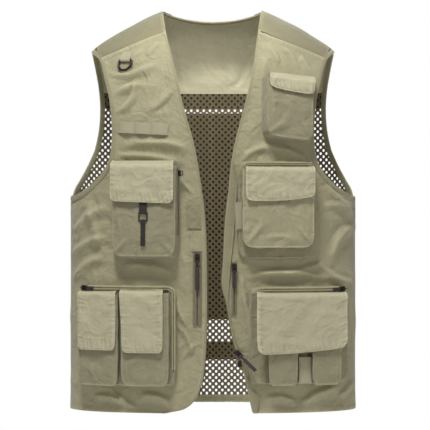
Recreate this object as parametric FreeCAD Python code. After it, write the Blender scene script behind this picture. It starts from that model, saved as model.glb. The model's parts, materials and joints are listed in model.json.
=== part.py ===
import FreeCAD
import Part
import math
import os

# Fishing vest as worn. Millimetres. The origin is the middle of the neck opening, level with the
# two points where the shoulders meet the neck. +Z is up, -Y is the front, +X is the wearer's left.

V = FreeCAD.Vector
FRONT = -1
BACK = 1

# ---- driving dimensions ----
LENGTH = 690.0           # shoulder at the neck down to the hem
HALF_WIDTH = 247.0       # middle to side seam
FRONT_DEPTH = 115.0      # side seam plane to the front of the chest
BACK_DEPTH = 105.0       # side seam plane to the back
ROUNDNESS = 2.4          # exponent of the body's oval cross-section
NECK_HALF = 86.0         # half the neck opening's width
NECK_DROP = 12.0         # how far the back neckline dips at its middle
SHOULDER_SLOPE = 0.44
SHOULDER_DROOP = 0.0009
FRONT_ROUNDING = 160.0   # height over which the chest rolls up to the shoulder ridge
BACK_ROUNDING = 95.0
CLOTH = 1.6              # a cloth panel
GAP = 0.5                # clearance between neighbouring pieces
ON_CLOTH = CLOTH + GAP   # height of whatever is sewn on a panel
PLACKET_TOP = ON_CLOTH + 1.4
BINDING = 8.0            # width of the bound edges
YOKE_AT_NECK = -40.0     # front yoke seam height at the neck
YOKE_FALL = 0.412        # its fall per millimetre outwards
BACK_SEAM_DROP = 3.4     # the yoke's rear seam, below the shoulder ridge
BACK_YOKE_END = -135.0
MESH_END = -680.0
POCKET_FLAT = 0.45       # how much of the body's sideways lean a pocket keeps
BODY_HEIGHT = 14.0       # depth of the zipped pockets under the small ones
WALL = 2.4               # walls of the open pockets
FLAP_LIFT = 3.0          # flap's underside above the pocket's face
FLAP_CLOTH = 2.0

# ---- outlines: (distance from the middle, height) ----
RIGHT_EDGE = [(87, 0), (82, -34), (67, -95), (48.5, -174), (32, -233), (19.5, -305), (13, -362),
              (10.4, -430), (10.4, -540), (14, -610), (22, -645), (34, -669), (78, -690)]
LEFT_EDGE = [(84, 0), (78, -34), (64, -124), (50, -180), (36, -235), (30, -270), (26, -312),
             (20, -369), (17, -433), (15, -472), (23, -506), (36, -575), (47, -602), (59, -655),
             (67, -690)]
LEFT_FOLD = [(33, -262), (37, -282), (40, -306), (38, -344), (34, -394), (28.5, -450),
             (26, -518), (36, -562), (52, -597), (59, -622), (60, -643), (76, -662), (74, -690)]
FRONT_ARMHOLE = [(200, -70), (195, -88), (185, -122), (177, -155), (172.7, -195), (172.7, -229),
                 (177, -258), (188.5, -280), (208.5, -301), (228.5, -315), (246.6, -324)]
BACK_ARMHOLE = [(212, -72), (208, -96), (203, -130), (201, -165), (203, -200), (210, -236),
                (217, -254), (226, -274), (236, -294), (242, -306), (246.6, -324)]


# ---- the body's surface ----

def ridge(x):
    """Height of the shoulder ridge."""
    run = max(abs(x) - NECK_HALF, 0.0)
    return -SHOULDER_SLOPE * run - SHOULDER_DROOP * run * run


def ridge_slope(x):
    run = max(abs(x) - NECK_HALF, 0.0)
    if run == 0.0:
        return 0.0
    return math.copysign(SHOULDER_SLOPE + 2 * SHOULDER_DROOP * run, -x)


def rounding(side):
    return FRONT_ROUNDING if side == FRONT else BACK_ROUNDING


def half_depth(x, side):
    """Depth of the full chest or back at x, and its slope."""
    full = FRONT_DEPTH if side == FRONT else BACK_DEPTH
    share = min(abs(x) / HALF_WIDTH, 1.0 - 1e-7)
    rest = 1.0 - share ** ROUNDNESS
    depth = full * rest ** (1 / ROUNDNESS)
    slope = -full / HALF_WIDTH * share ** (ROUNDNESS - 1) * rest ** (1 / ROUNDNESS - 1)
    return depth, math.copysign(slope, -x)


def skin(x, z, side, height=0.0, lean=1.0):
    """The point at (x, z) on the body, raised outwards; lean scales the sideways part."""
    depth, slope = half_depth(x, side)
    roll = max(1.0 - max(ridge(x) - z, 0.0) / rounding(side), 0.0)
    reach = depth * math.sqrt(1.0 - roll * roll)
    up = depth * depth * roll / rounding(side)
    across = -reach * reach * slope / depth - up * ridge_slope(x)
    normal = V(across * lean, side * reach, up)
    normal.normalize()
    return V(x, side * (reach + GAP / 2), z) + normal * height


def travel(drop, side):
    """Distance over the surface from the ridge down to a drop below it."""
    size = rounding(side)
    if drop >= size:
        return size * math.pi / 2 + drop - size
    return size * math.acos(1.0 - max(drop, 0.0) / size)


def drop_after(distance, side):
    size = rounding(side)
    if distance >= size * math.pi / 2:
        return distance - size * math.pi / 2 + size
    return size * (1.0 - math.cos(distance / size))


# ---- curves and rows ----

def across_at(outline, z):
    """Distance from the middle at height z, on a smooth curve through the outline."""
    low = len(outline) - 2
    for index in range(len(outline) - 1):
        if z >= outline[index + 1][1]:
            low = index
            break
    (x0, z0), (x1, z1) = outline[low], outline[low + 1]
    chord = (x1 - x0) / (z1 - z0)
    before = chord
    after = chord
    if low > 0:
        before = (x1 - outline[low - 1][0]) / (z1 - outline[low - 1][1])
    if low + 2 < len(outline):
        after = (outline[low + 2][0] - x0) / (outline[low + 2][1] - z0)
    span = z1 - z0
    t = min(max((z - z0) / span, 0.0), 1.0)
    return ((2 * t ** 3 - 3 * t ** 2 + 1) * x0 + (t ** 3 - 2 * t ** 2 + t) * span * before
            + (3 * t ** 2 - 2 * t ** 3) * x1 + (t ** 3 - t ** 2) * span * after)


def inset(outline, width):
    """The outline moved towards the middle of the body."""
    moved = []
    for index, (x, z) in enumerate(outline):
        near = outline[max(index - 1, 0)]
        far = outline[min(index + 1, len(outline) - 1)]
        run_x = far[0] - near[0]
        run_z = far[1] - near[1]
        size = math.hypot(run_x, run_z)
        moved.append((x + width * run_z / size, z - width * run_x / size))
    return moved


def spread(x0, x1, count):
    """Places from x0 to x1, closer together where the body turns to the side."""
    start = math.asin(max(min(x0 / HALF_WIDTH, 1.0), -1.0))
    end = math.asin(max(min(x1 / HALF_WIDTH, 1.0), -1.0))
    return [HALF_WIDTH * math.sin(start + (end - start) * k / (count - 1)) for k in range(count)]


def settle(edge, height, start):
    """x where a boundary curve meets a row whose height depends on x."""
    x = start
    for _ in range(30):
        x = 0.5 * (x + edge(height(x)))
    return x


def smooth_edge(points):
    if len(points) == 2:
        return Part.makeLine(points[0], points[1])
    curve = Part.BSplineCurve()
    curve.interpolate(points)
    return curve.toShape()


def solid_between(lower, upper):
    """Closed solid between two grids of points that have the same rows and columns."""
    low_edges = [smooth_edge(row) for row in lower]
    high_edges = [smooth_edge(row) for row in upper]
    starts = [Part.makeLine(a[0], b[0]) for a, b in zip(lower, upper)]
    ends = [Part.makeLine(a[-1], b[-1]) for a, b in zip(lower, upper)]
    faces = []
    for k in range(len(lower) - 1):
        for edges in (low_edges, high_edges, starts, ends):
            faces.append(Part.makeRuledSurface(edges[k], edges[k + 1]))
    for k in (0, -1):
        faces.append(Part.makeRuledSurface(low_edges[k], high_edges[k]))
    shell = Part.makeShell(faces)
    shell.sewShape()
    solid = Part.makeSolid(Part.Shell(shell.Faces))
    if solid.Volume < 0:
        solid.reverse()
    return solid


def cloth(rows, side, low, high, lean=1.0):
    """A layer over the body. rows hold (x, z); low and high are heights above the surface."""
    lower = [[skin(x, z, side, low, lean) for x, z in row] for row in rows]
    upper = [[skin(x, z, side, high, lean) for x, z in row] for row in rows]
    return solid_between(lower, upper)


def quad_rows(corners, rows, columns):
    """Rows inside a four-cornered outline: top left, top right, bottom right, bottom left."""
    top_left, top_right, bottom_right, bottom_left = corners
    grid = []
    for j in range(rows):
        v = j / (rows - 1)
        left = [top_left[k] + (bottom_left[k] - top_left[k]) * v for k in (0, 1)]
        right = [top_right[k] + (bottom_right[k] - top_right[k]) * v for k in (0, 1)]
        row = []
        for i in range(columns):
            u = i / (columns - 1)
            row.append((left[0] + (right[0] - left[0]) * u, left[1] + (right[1] - left[1]) * u))
        grid.append(row)
    return grid


def box_corners(x0, x1, z0, z1):
    return [(x0, z0), (x1, z0), (x1, z1), (x0, z1)]


def strip_rows(path, width, steps):
    """Short rows across a band that follows a path of (x, z) points."""
    curve = Part.BSplineCurve()
    curve.interpolate([V(x, 0, z) for x, z in path])
    rows = []
    for k in range(steps + 1):
        at = curve.FirstParameter + (curve.LastParameter - curve.FirstParameter) * k / steps
        point = curve.value(at)
        run = curve.tangent(at)[0]
        aside = V(run.z, 0, -run.x) * (width / 2)
        rows.append([(point.x + aside.x * f, point.z + aside.z * f) for f in (-1, 0, 1)])
    return rows


def corner_path(x0, x1, z_top, z_bottom, radius):
    """Points across from x0 to x1, and round a corner down to z_bottom where they differ."""
    turn = math.copysign(radius, x1 - x0)
    points = [(x0 + (x1 - turn - x0) * k / 8, z_top) for k in range(9)]
    if z_bottom < z_top:
        for k in range(1, 5):
            angle = math.pi / 2 * k / 4
            points.append((x1 - turn + turn * math.sin(angle),
                           z_top - radius + radius * math.cos(angle)))
        low = z_top - radius
        points += [(x1, low + (z_bottom - low) * k / 6) for k in range(1, 7)]
    return points


def save(name, *solids):
    shape = solids[0] if len(solids) == 1 else Part.makeCompound(list(solids))
    shape.exportStep("parts/" + name + ".step")
    print(name, round(shape.Volume), shape.isValid())


# ---- shell ----

def yoke_seam(x):
    return YOKE_AT_NECK - YOKE_FALL * (abs(x) - NECK_HALF)


def evenly(points, count, side=FRONT):
    """Points at even distances over the body along a dense outline of (x, z)."""
    reach = [0.0]
    for (x0, z0), (x1, z1) in zip(points, points[1:]):
        reach.append(reach[-1] + (skin(x1, z1, side) - skin(x0, z0, side)).Length)
    chosen = []
    index = 0
    for k in range(count):
        wanted = reach[-1] * k / (count - 1)
        while index < len(points) - 2 and reach[index + 1] < wanted:
            index += 1
        share = (wanted - reach[index]) / (reach[index + 1] - reach[index])
        (x0, z0), (x1, z1) = points[index], points[index + 1]
        chosen.append((x0 + (x1 - x0) * share, z0 + (z1 - z0) * share))
    return chosen


def front_panel(sign, edge_outline, edge_shift):
    """One front, from the hem to the yoke seam. edge_shift pulls its free edge back."""
    arm = inset(FRONT_ARMHOLE, BINDING + GAP)
    fine = 200

    def upwards(outline, z0):
        """The outline from z0 up to the yoke seam."""
        points = []
        for k in range(fine + 1):
            z = z0 + (YOKE_AT_NECK - z0) * k / fine
            x = across_at(outline, z)
            if z > yoke_seam(x) - GAP:
                break
            points.append((x, z))
        return points

    free_edge = [(x + edge_shift, z) for x, z in upwards(edge_outline, -LENGTH)]
    armpit = arm[-1][1]
    side_seam = [(HALF_WIDTH, -LENGTH + (armpit + LENGTH) * k / fine) for k in range(fine)]
    outer_edge = side_seam + upwards(arm, armpit)
    rows = []
    for (x0, z0), (x1, z1) in zip(evenly(free_edge, 34), evenly(outer_edge, 34)):
        places = spread(x0, x1, 13)
        rows.append([(sign * x, z0 + (z1 - z0) * (x - x0) / (x1 - x0)) for x in places])
    return cloth(rows, FRONT, 0.0, CLOTH)


def shoulder_yoke(sign, edge_outline):
    """The padded yoke, from its front seam over the ridge to its rear seam."""
    arm_front = inset(FRONT_ARMHOLE, BINDING + GAP)
    arm_back = inset(BACK_ARMHOLE, BINDING + GAP)
    lower = []
    upper = []
    steps = 8
    for k in range(-steps, 5):
        side = FRONT if k <= 0 else BACK
        share = abs(k) / (steps if k <= 0 else 4)

        def height(x, side=side, share=share):
            seam = ridge(x) - yoke_seam(x) - GAP if side == FRONT else BACK_SEAM_DROP - GAP
            return ridge(x) - drop_after(travel(seam, side) * share, side)

        if side == FRONT:
            x0 = settle(lambda z: across_at(edge_outline, z), height, 84.0)
            x1 = settle(lambda z: across_at(arm_front, z), height, 190.0)
            x1 += (1.0 - share) * 8.0
        else:
            x0 = NECK_HALF * math.sqrt(1.0 - (ridge(NECK_HALF) - height(NECK_HALF)) / NECK_DROP)
            x1 = settle(lambda z: across_at(arm_back, z), height, 200.0)
        row = [(sign * x, height(x)) for x in spread(x0, x1, 7)]
        lower.append([skin(x, z, side, 0.0) for x, z in row])
        upper.append([skin(x, z, side, 4.0) for x, z in row])
    return solid_between(lower, upper)


def back_neck_drop(x):
    return NECK_DROP * (1.0 - min(abs(x) / NECK_HALF, 1.0) ** 2)


def back_yoke():
    """Solid cloth across the shoulder blades, below the bound neckline."""
    arm = inset(BACK_ARMHOLE, BINDING + GAP)
    rows = []
    steps = 10
    for k in range(steps + 1):
        share = k / steps

        def height(x, share=share):
            neck = travel(back_neck_drop(x), BACK) + BINDING + 4 * GAP
            seam = travel(BACK_SEAM_DROP + GAP, BACK)
            inside = min(max((NECK_HALF + 6.0 - abs(x)) / 12.0, 0.0), 1.0)
            top = max(neck * inside, seam)
            low = travel(ridge(x) - BACK_YOKE_END, BACK)
            return ridge(x) - drop_after(low + (top - low) * share, BACK)

        x1 = settle(lambda z: across_at(arm, z), height, 200.0)
        rows.append([(x, height(x)) for x in spread(-x1, x1, 45)])
    return cloth(rows, BACK, 0.0, CLOTH)


def back_sheet(z_top, z_bottom, half, low, high, steps, columns=13):
    """A layer over the back, half wide at each height."""
    rows = []
    for k in range(steps + 1):
        z = z_bottom + (z_top - z_bottom) * k / steps
        wide = half(z)
        rows.append([(x, z) for x in spread(-wide, wide, columns)])
    return cloth(rows, BACK, low, high)


def back_mesh():
    """Net back, from the hem up to the yoke and out to the side seams and armholes."""
    arm = inset(BACK_ARMHOLE, BINDING + 4 * GAP)
    top = BACK_YOKE_END - GAP
    count = 32
    outline = [(HALF_WIDTH, MESH_END + (arm[-1][1] - MESH_END) * k / 100) for k in range(100)]
    for k in range(101):
        z = arm[-1][1] + (top - arm[-1][1]) * k / 100
        outline.append((across_at(arm, z), z))
    rows = []
    for k, (wide, z_end) in enumerate(evenly(outline, count, BACK)):
        z_middle = MESH_END + (top - MESH_END) * k / (count - 1)
        row = []
        for x in spread(-wide, wide, 21):
            row.append((x, z_middle + (z_end - z_middle) * (x / wide) ** 2))
        rows.append(row)
    return cloth(rows, BACK, 0.0, CLOTH)


def binding_strip(outline, sign, side):
    """Bound edge of an armhole, on one side of the body."""
    inner = inset(outline, BINDING)
    lower = []
    upper = []
    for end, inner_end in zip(outline, inner):
        middle = tuple((a + b) / 2 for a, b in zip(end, inner_end))
        row = [end, middle, inner_end]
        lower.append([skin(sign * x, z, side, -0.8) for x, z in row])
        upper.append([skin(sign * x, z, side, 2.8) for x, z in row])
    return solid_between(lower, upper)


def armhole_binding(sign):
    front = [(211, -71.0)] + FRONT_ARMHOLE[1:]
    return [binding_strip(front, sign, FRONT), binding_strip(BACK_ARMHOLE, sign, BACK)]


def neck_binding():
    rows = []
    for k in range(21):
        x = NECK_HALF * 0.86 * math.sin((k / 20 - 0.5) * math.pi)
        start = travel(back_neck_drop(x), BACK)
        row = []
        for f in (0.0, 0.5, 1.0):
            row.append((x, ridge(x) - drop_after(start + f * BINDING, BACK)))
        rows.append(row)
    return cloth(rows, BACK, -0.8, 2.8)


# ---- pockets ----

def pocket_plane(x0, x1, z0, z1, depth):
    """Flat plane of a pocket's face: origin, across, up and out."""
    x = (x0 + x1) / 2
    z = (z0 + z1) / 2
    across = skin(x1, z, FRONT) - skin(x0, z, FRONT)
    across.z = 0
    across.normalize()
    up = skin(x, z0, FRONT) - skin(x, z1, FRONT)
    up = up - across * up.dot(across)
    up.normalize()
    out = across.cross(up)
    return skin(x, z, FRONT) + out * depth, across, up, out


def on_plane(plane, x, z, height=0.0):
    """The point of the plane seen at (x, z), raised by height."""
    origin, across, up, out = plane
    rise = (z - origin.z) / up.z
    run = (x - origin.x - up.x * rise) / across.x
    return origin + across * run + up * rise + out * height


def foot(x, z, height):
    """Where on the body a point stands that is raised by height and seen at x."""
    guess = x
    for _ in range(40):
        guess += 0.4 * (x - skin(guess, z, FRONT, height, POCKET_FLAT).x)
    return guess


def curved_pocket(x0, x1, z0, z1, height):
    """A closed pocket that follows the body."""
    corners = [(foot(x, z, height), z) for x, z in box_corners(x0, x1, z0, z1)]
    rows = quad_rows(corners, 9, 9)
    lower = [[skin(x, z, FRONT, ON_CLOTH) for x, z in row] for row in rows]
    upper = [[skin(x, z, FRONT, height, POCKET_FLAT) for x, z in row] for row in rows]
    return solid_between(lower, upper)


def curved_strip(x0, x1, z0, z1, height, thickness):
    """A flat piece sewn on the face of a curved pocket."""
    start = height + GAP
    corners = [(foot(x, z, start), z) for x, z in box_corners(x0, x1, z0, z1)]
    return cloth(quad_rows(corners, 4, 4), FRONT, start, start + thickness, POCKET_FLAT)


def grow(corners, sides, top, bottom):
    """Corners moved outwards at the sides, the top and the bottom."""
    shifts = [(-sides, top), (sides, top), (sides, -bottom), (-sides, -bottom)]
    return [(x + dx, z + dz) for (x, z), (dx, dz) in zip(corners, shifts)]


def frustum(plane, base, face, low, high, lean):
    rows_low = quad_rows(base, 10, 6)
    rows_high = quad_rows(face, 10, 6)
    lower = [[skin(x, z, FRONT, low, lean) for x, z in row] for row in rows_low]
    upper = [[on_plane(plane, x, z, high) for x, z in row] for row in rows_high]
    return solid_between(lower, upper)


def open_pocket(plane, base, face, low, lean):
    """A pocket that is open at its top and backed by the cloth it is sewn on."""
    outer = frustum(plane, base, face, low, 0.0, lean)
    inner = frustum(plane, grow(base, -WALL, 8, -WALL), grow(face, -WALL, 8, -WALL),
                    low - 3.0, -WALL, lean)
    return outer.cut(inner).Solids[0]


def rounded_plate(plane, corners, radius, low, high):
    """Flat plate with its two lower corners rounded."""
    points = [on_plane(plane, x, z, low) for x, z in corners]
    down_right = points[1] - points[2]
    down_left = points[0] - points[3]
    base = points[2] - points[3]
    for side in (down_right, down_left, base):
        side.normalize()
    reach = radius * (1 - math.sqrt(0.5))
    right_mid = points[2] + (down_right - base) * reach
    left_mid = points[3] + (down_left + base) * reach
    edges = [Part.makeLine(points[0], points[1]),
             Part.makeLine(points[1], points[2] + down_right * radius),
             Part.Arc(points[2] + down_right * radius, right_mid,
                      points[2] - base * radius).toShape(),
             Part.makeLine(points[2] - base * radius, points[3] + base * radius),
             Part.Arc(points[3] + base * radius, left_mid,
                      points[3] + down_left * radius).toShape(),
             Part.makeLine(points[3] + down_left * radius, points[0])]
    return Part.Face(Part.Wire(edges)).extrude(plane[3] * (high - low))


def flap_top(plane, corners, low, lean, rise):
    """Strip from the panel out to the flap's fold, above the pocket's mouth."""
    (x0, z0), (x1, z1) = corners[0], corners[1]
    bottom = 1.0
    top = bottom + FLAP_CLOTH
    edge = [(x0, z0 + top), (x1, z1 + top), (x1, z1 + bottom), (x0, z0 + bottom)]
    sewn = [(x0 + 4.0, z0 + top + rise), (x1 - 1.0, z1 + top + rise),
            (x1 - 1.0, z1 + bottom + rise), (x0 + 4.0, z0 + bottom + rise)]
    rows = quad_rows(edge, 2, 6)
    feet = []
    for row in quad_rows(sewn, 2, 6):
        feet.append([(foot(x, z, low) if lean < 1 else x, z) for x, z in row])
    lower = [[skin(x, z, FRONT, low, lean) for x, z in row] for row in feet]
    upper = [[on_plane(plane, x, z, FLAP_LIFT + FLAP_CLOTH) for x, z in row] for row in rows]
    return solid_between(lower, upper)


def flap(plane, corners, radius=9.0):
    """The hanging part of a flap, just below its fold."""
    lowered = [(x, z - 0.6) for x, z in corners[:2]] + corners[2:]
    return rounded_plate(plane, lowered, radius, FLAP_LIFT, FLAP_LIFT + FLAP_CLOTH)


def patch(plane, x0, x1, z0, z1, low, high):
    """Flat rectangular piece on a pocket's face."""
    return rounded_plate(plane, box_corners(x0, x1, z0, z1), 1.5, low, high)


# face outlines: top left, top right, bottom right, bottom left
CHEST_FACE = box_corners(-170, -64, -271, -423)
CHEST_BASE = box_corners(-169.5, -55.6, -270, -428)
CHEST_FLAP = [(-173, -269), (-66, -269), (-66, -334), (-173, -330)]
OUTER_FACE = box_corners(-230, -161, -487, -642)
OUTER_FLAP = box_corners(-228, -163, -486, -582)
INNER_FACE = box_corners(-155, -75, -485, -642)
INNER_FLAP = [(-157.5, -484), (-84, -484), (-84, -586), (-152, -586)]
SMALL_FACE = [(95, -121), (170, -127), (169, -227), (92, -218)]
SMALL_BASE = [(82, -121), (170, -127), (170, -230), (82, -222)]
SMALL_FLAP = [(96, -118), (173, -125), (171, -149), (97, -136)]
MID_FACE = box_corners(51, 171, -276, -408)
MID_FLAP = [(55, -275), (172, -275), (172, -322), (55, -329)]
LEFT_CELLS = [box_corners(95, 143, -490, -641), box_corners(169, 218, -490, -641)]
LEFT_FLAP = [(73, -488), (227, -488), (227, -578), (73, -588)]
MID_REAR_HEIGHT = 11.0

CHEST_PLANE = pocket_plane(-172, -60, -263, -423, 24)
OUTER_PLANE = pocket_plane(-218, -158, -487, -642, 30)
INNER_PLANE = pocket_plane(-155, -75, -485, -642, 29)
SMALL_PLANE = pocket_plane(84, 172, -122, -225, 20)
MID_PLANE = pocket_plane(48, 170, -276, -408, 27)
LEFT_PLANE = pocket_plane(73, 215, -488, -640, 29)


def cell(plane, face):
    """An open pocket sewn on a zipped one."""
    lift = BODY_HEIGHT + GAP
    base = [(foot(x, z, lift), z) for x, z in face]
    return open_pocket(plane, base, face, lift, POCKET_FLAT)


def mid_front_pocket():
    lift = MID_REAR_HEIGHT + GAP
    base = [(foot(x, z, lift), z) for x, z in MID_FACE]
    return open_pocket(MID_PLANE, base, MID_FACE, lift, POCKET_FLAT)


def flap_tops():
    on_body = BODY_HEIGHT + GAP
    return [flap_top(CHEST_PLANE, CHEST_FLAP, ON_CLOTH, 1.0, 5.0),
            flap_top(OUTER_PLANE, OUTER_FLAP, on_body, POCKET_FLAT, 0.0),
            flap_top(INNER_PLANE, INNER_FLAP, on_body, POCKET_FLAT, 0.0),
            flap_top(SMALL_PLANE, SMALL_FLAP, ON_CLOTH, 1.0, 4.0),
            flap_top(MID_PLANE, MID_FLAP, MID_REAR_HEIGHT + GAP, POCKET_FLAT, 0.5),
            flap_top(LEFT_PLANE, LEFT_FLAP, on_body, POCKET_FLAT, 0.0)]


def loop_patches():
    """Soft halves of the touch fasteners, on the pockets' faces under the flaps."""
    low = 0.1
    high = 1.3
    return [patch(CHEST_PLANE, -160, -130, -308, -324, low, high),
            patch(CHEST_PLANE, -106, -76, -308, -324, low, high),
            patch(OUTER_PLANE, -212, -180, -556, -574, low, high),
            patch(INNER_PLANE, -132, -100, -558, -576, low, high),
            patch(SMALL_PLANE, 118, 150, -134, -144, low, high),
            patch(MID_PLANE, 70, 100, -304, -320, low, high),
            patch(MID_PLANE, 124, 154, -301, -317, low, high),
            patch(LEFT_PLANE, 104, 134, -558, -574, low, high),
            patch(LEFT_PLANE, 178, 208, -556, -572, low, high)]


# ---- hardware ----

def local_box(frame, size, place, rounding_radius=0.0):
    """Block in a local frame; size and place along across, along and out."""
    block = Part.makeBox(size[0], size[1], size[2], V(-size[0] / 2, -size[1] / 2, -size[2] / 2))
    if rounding_radius > 0:
        block = block.makeFillet(rounding_radius, block.Edges)
    block.translate(V(*place))
    return stand(frame, block)


def local_rod(frame, radius, start, end):
    rod = Part.makeCylinder(radius, (V(*end) - V(*start)).Length, V(*start), V(*end) - V(*start))
    return stand(frame, rod)


def stand(frame, shape):
    """Move a shape from local coordinates into a frame of origin, across, along and out."""
    origin, across, along, out = frame
    matrix = FreeCAD.Matrix(across.x, along.x, out.x, origin.x,
                            across.y, along.y, out.y, origin.y,
                            across.z, along.z, out.z, origin.z, 0, 0, 0, 1)
    return shape.transformed(matrix)


def frame_on(point, out, hang):
    """Frame at a point: out is the surface's normal and hang the way the piece hangs."""
    out = V(out)
    out.normalize()
    along = V(hang) - out * out.dot(V(hang))
    along.normalize()
    return point, along.cross(out), along, out


def frame_on_skin(x, z, height, hang, lean=1.0):
    point = skin(x, z, FRONT, height, lean)
    aside = skin(x + 0.5, z, FRONT, height, lean) - skin(x - 0.5, z, FRONT, height, lean)
    upward = skin(x, z + 0.5, FRONT, height, lean) - skin(x, z - 0.5, FRONT, height, lean)
    return frame_on(point, aside.cross(upward), V(*hang))


SLIDER_WIDTH = 8.0
SLIDER_LENGTH = 10.0
SLIDER_HEIGHT = 3.4
BAIL_RISE = 3.2          # clear height under the slider's bail
PULL_ROD = 0.8           # radius of the puller's cross bar


def zip_slider(frame):
    """Slider body with its bail."""
    body = local_box(frame, (SLIDER_WIDTH, SLIDER_LENGTH, SLIDER_HEIGHT),
                     (0, 0, SLIDER_HEIGHT / 2), 0.9)
    top = SLIDER_HEIGHT + BAIL_RISE
    bridge = local_box(frame, (2.0, 8.0, 1.0), (0, 0, top + 0.3), 0.0)
    for place in (-3.5, 3.5):
        leg = local_box(frame, (2.0, 1.0, BAIL_RISE + 0.9), (0, place, SLIDER_HEIGHT + 1.5), 0.0)
        bridge = bridge.fuse(leg)
    return body.fuse(bridge).removeSplitter()


def tilted(frame, degrees):
    """The slider's frame turned about the puller's cross bar, so that the puller leans out."""
    origin, across, along, out = frame
    level = SLIDER_HEIGHT + BAIL_RISE / 2
    bar = origin + out * level
    turn = FreeCAD.Rotation(across, degrees)
    out = turn.multVec(out)
    return bar - out * level, across, turn.multVec(along), out


def zip_puller(frame, ring, tab):
    """Puller: cross bar under the bail, two arms, a link and a moulded tab."""
    level = SLIDER_HEIGHT + BAIL_RISE / 2
    arm_end = 7.5
    arm = 2.0
    shape = local_rod(frame, PULL_ROD, (-3.4, 0, level), (3.4, 0, level))
    for side in (-1, 1):
        shape = shape.fuse(local_box(frame, (arm, arm_end + 1.2, arm),
                                     (side * 3.4, arm_end / 2 - 0.5, level)))
    shape = shape.fuse(local_box(frame, (9.0, 3.0, 2.2), (0, arm_end + 0.6, level)))
    start = arm_end + 1.5
    if ring > 0:
        shape = shape.fuse(local_box(frame, (3.4, ring + 2.0, 1.4), (0, start + ring / 2, level)))
    grip = local_box(frame, (6.4, tab, 2.8), (0, start + ring + tab / 2, level), 0.7)
    return shape.fuse(grip).removeSplitter()


D_RING_FRAME = frame_on_skin(-147, -91, 0.0, (0, 0, -1))
D_RING_BAR = 6.0         # bar's height above the yoke
D_RING_WIRE = 2.0
D_RING_HALF = 12.0


def swept_ring(frame, points, wire, height):
    """Round wire along closed runs: (x, y) points, where an arc is given as its middle point."""
    edges = []
    for start, middle, end in points:
        first = V(start[0], start[1], height)
        last = V(end[0], end[1], height)
        if middle is None:
            edges.append(Part.makeLine(first, last))
        else:
            edges.append(Part.Arc(first, V(middle[0], middle[1], height), last).toShape())
    path = Part.Wire(edges)
    start = V(points[0][0][0], points[0][0][1], height)
    profile = Part.Wire([Part.makeCircle(wire, start, V(1, 0, 0))])
    return stand(frame, path.makePipeShell([profile], True, False))


def d_ring():
    """Straight bar in the tape's fold, short arms and a round bow."""
    half = D_RING_HALF
    corner = 3.0
    near = corner * (1 - math.sqrt(0.5))
    arm = 7.0
    runs = [((0, 0), None, (half - corner, 0)),
            ((half - corner, 0), (half - near, near), (half, corner)),
            ((half, corner), None, (half, arm)),
            ((half, arm), (0, arm + half), (-half, arm)),
            ((-half, arm), None, (-half, corner)),
            ((-half, corner), (near - half, near), (corner - half, 0)),
            ((corner - half, 0), None, (0, 0))]
    return swept_ring(D_RING_FRAME, runs, D_RING_WIRE, D_RING_BAR)


def d_ring_loop():
    """Folded tape sewn on the yoke, with the ring's bar in its fold."""
    block = local_box(D_RING_FRAME, (18.0, 20.0, 7.4), (0, -6.0, D_RING_BAR), 1.0)
    bore = local_rod(D_RING_FRAME, D_RING_WIRE + 0.35, (-12, 0, D_RING_BAR), (12, 0, D_RING_BAR))
    return block.cut(bore)


def tool_webbing():
    """Webbing tacked down at four places, so that it stands off in three loops."""
    lower = []
    upper = []
    tacks = [-159, -133, -106, -77]
    for j in range(4):
        v = j / 3
        low = []
        high = []
        for k in range(3):
            for i in range(6 if k == 2 else 5):
                u = i / 5
                x = tacks[k] + (tacks[k + 1] - tacks[k]) * u
                z = -194.0 - 4.5 * (x + 159) / 82 - 19.5 * v
                height = ON_CLOTH + 3.4 * math.sin(math.pi * u) ** 0.8
                low.append(skin(x, z, FRONT, height))
                high.append(skin(x, z, FRONT, height + 1.6))
        lower.append(low)
        upper.append(high)
    return solid_between(lower, upper)


TETHER_X = -117.5
TETHER_FRAME = frame_on(on_plane(CHEST_PLANE, TETHER_X, -350), CHEST_PLANE[3], V(0, 0, -1))
TETHER_BAR = 2.6         # height of the ring's bar above the pocket's face
STRAP_BAR_DROP = 13.0    # from the ring's top bar to the strap's bar
STRAP_EYE = 4.2          # the strap's eye, small enough to turn clear of the pocket


def tether_tab():
    block = local_box(TETHER_FRAME, (13.0, 30.0, 2.0), (0, -17.0, 1.4), 0.4)
    eye = local_box(TETHER_FRAME, (9.0, 6.0, 4.4), (0, 0, TETHER_BAR), 0.5)
    bore = local_rod(TETHER_FRAME, 1.6, (-8, 0, TETHER_BAR), (8, 0, TETHER_BAR))
    return block.fuse(eye).cut(bore)


def tether_ring():
    """Moulded rectangular ring between the tab and the strap."""
    wire = 2.2
    half = 8.1
    outer = Part.makeBox(2 * half, STRAP_BAR_DROP + wire, wire, V(-half, -wire / 2, -wire / 2))
    inner = Part.makeBox(2 * (half - wire), STRAP_BAR_DROP - wire, 2 * wire,
                         V(wire - half, wire / 2, -wire))
    ring = outer.cut(inner)
    ring = ring.makeFillet(0.7, ring.Edges)
    ring.translate(V(0, 0, TETHER_BAR))
    return stand(TETHER_FRAME, ring)


def tether_strap():
    drop = STRAP_BAR_DROP
    eye = local_box(TETHER_FRAME, (8.0, STRAP_EYE, STRAP_EYE), (0, drop, TETHER_BAR), 1.2)
    bore = local_rod(TETHER_FRAME, 1.6, (-8, drop, TETHER_BAR), (8, drop, TETHER_BAR))
    neck = local_box(TETHER_FRAME, (8.0, 26.0, 2.0), (0, drop + 14.6, TETHER_BAR), 0.4)
    end = local_box(TETHER_FRAME, (10.0, 18.0, 3.6), (0, drop + 34.0, TETHER_BAR), 1.0)
    return eye.fuse(neck).cut(bore).fuse(end)


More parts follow.
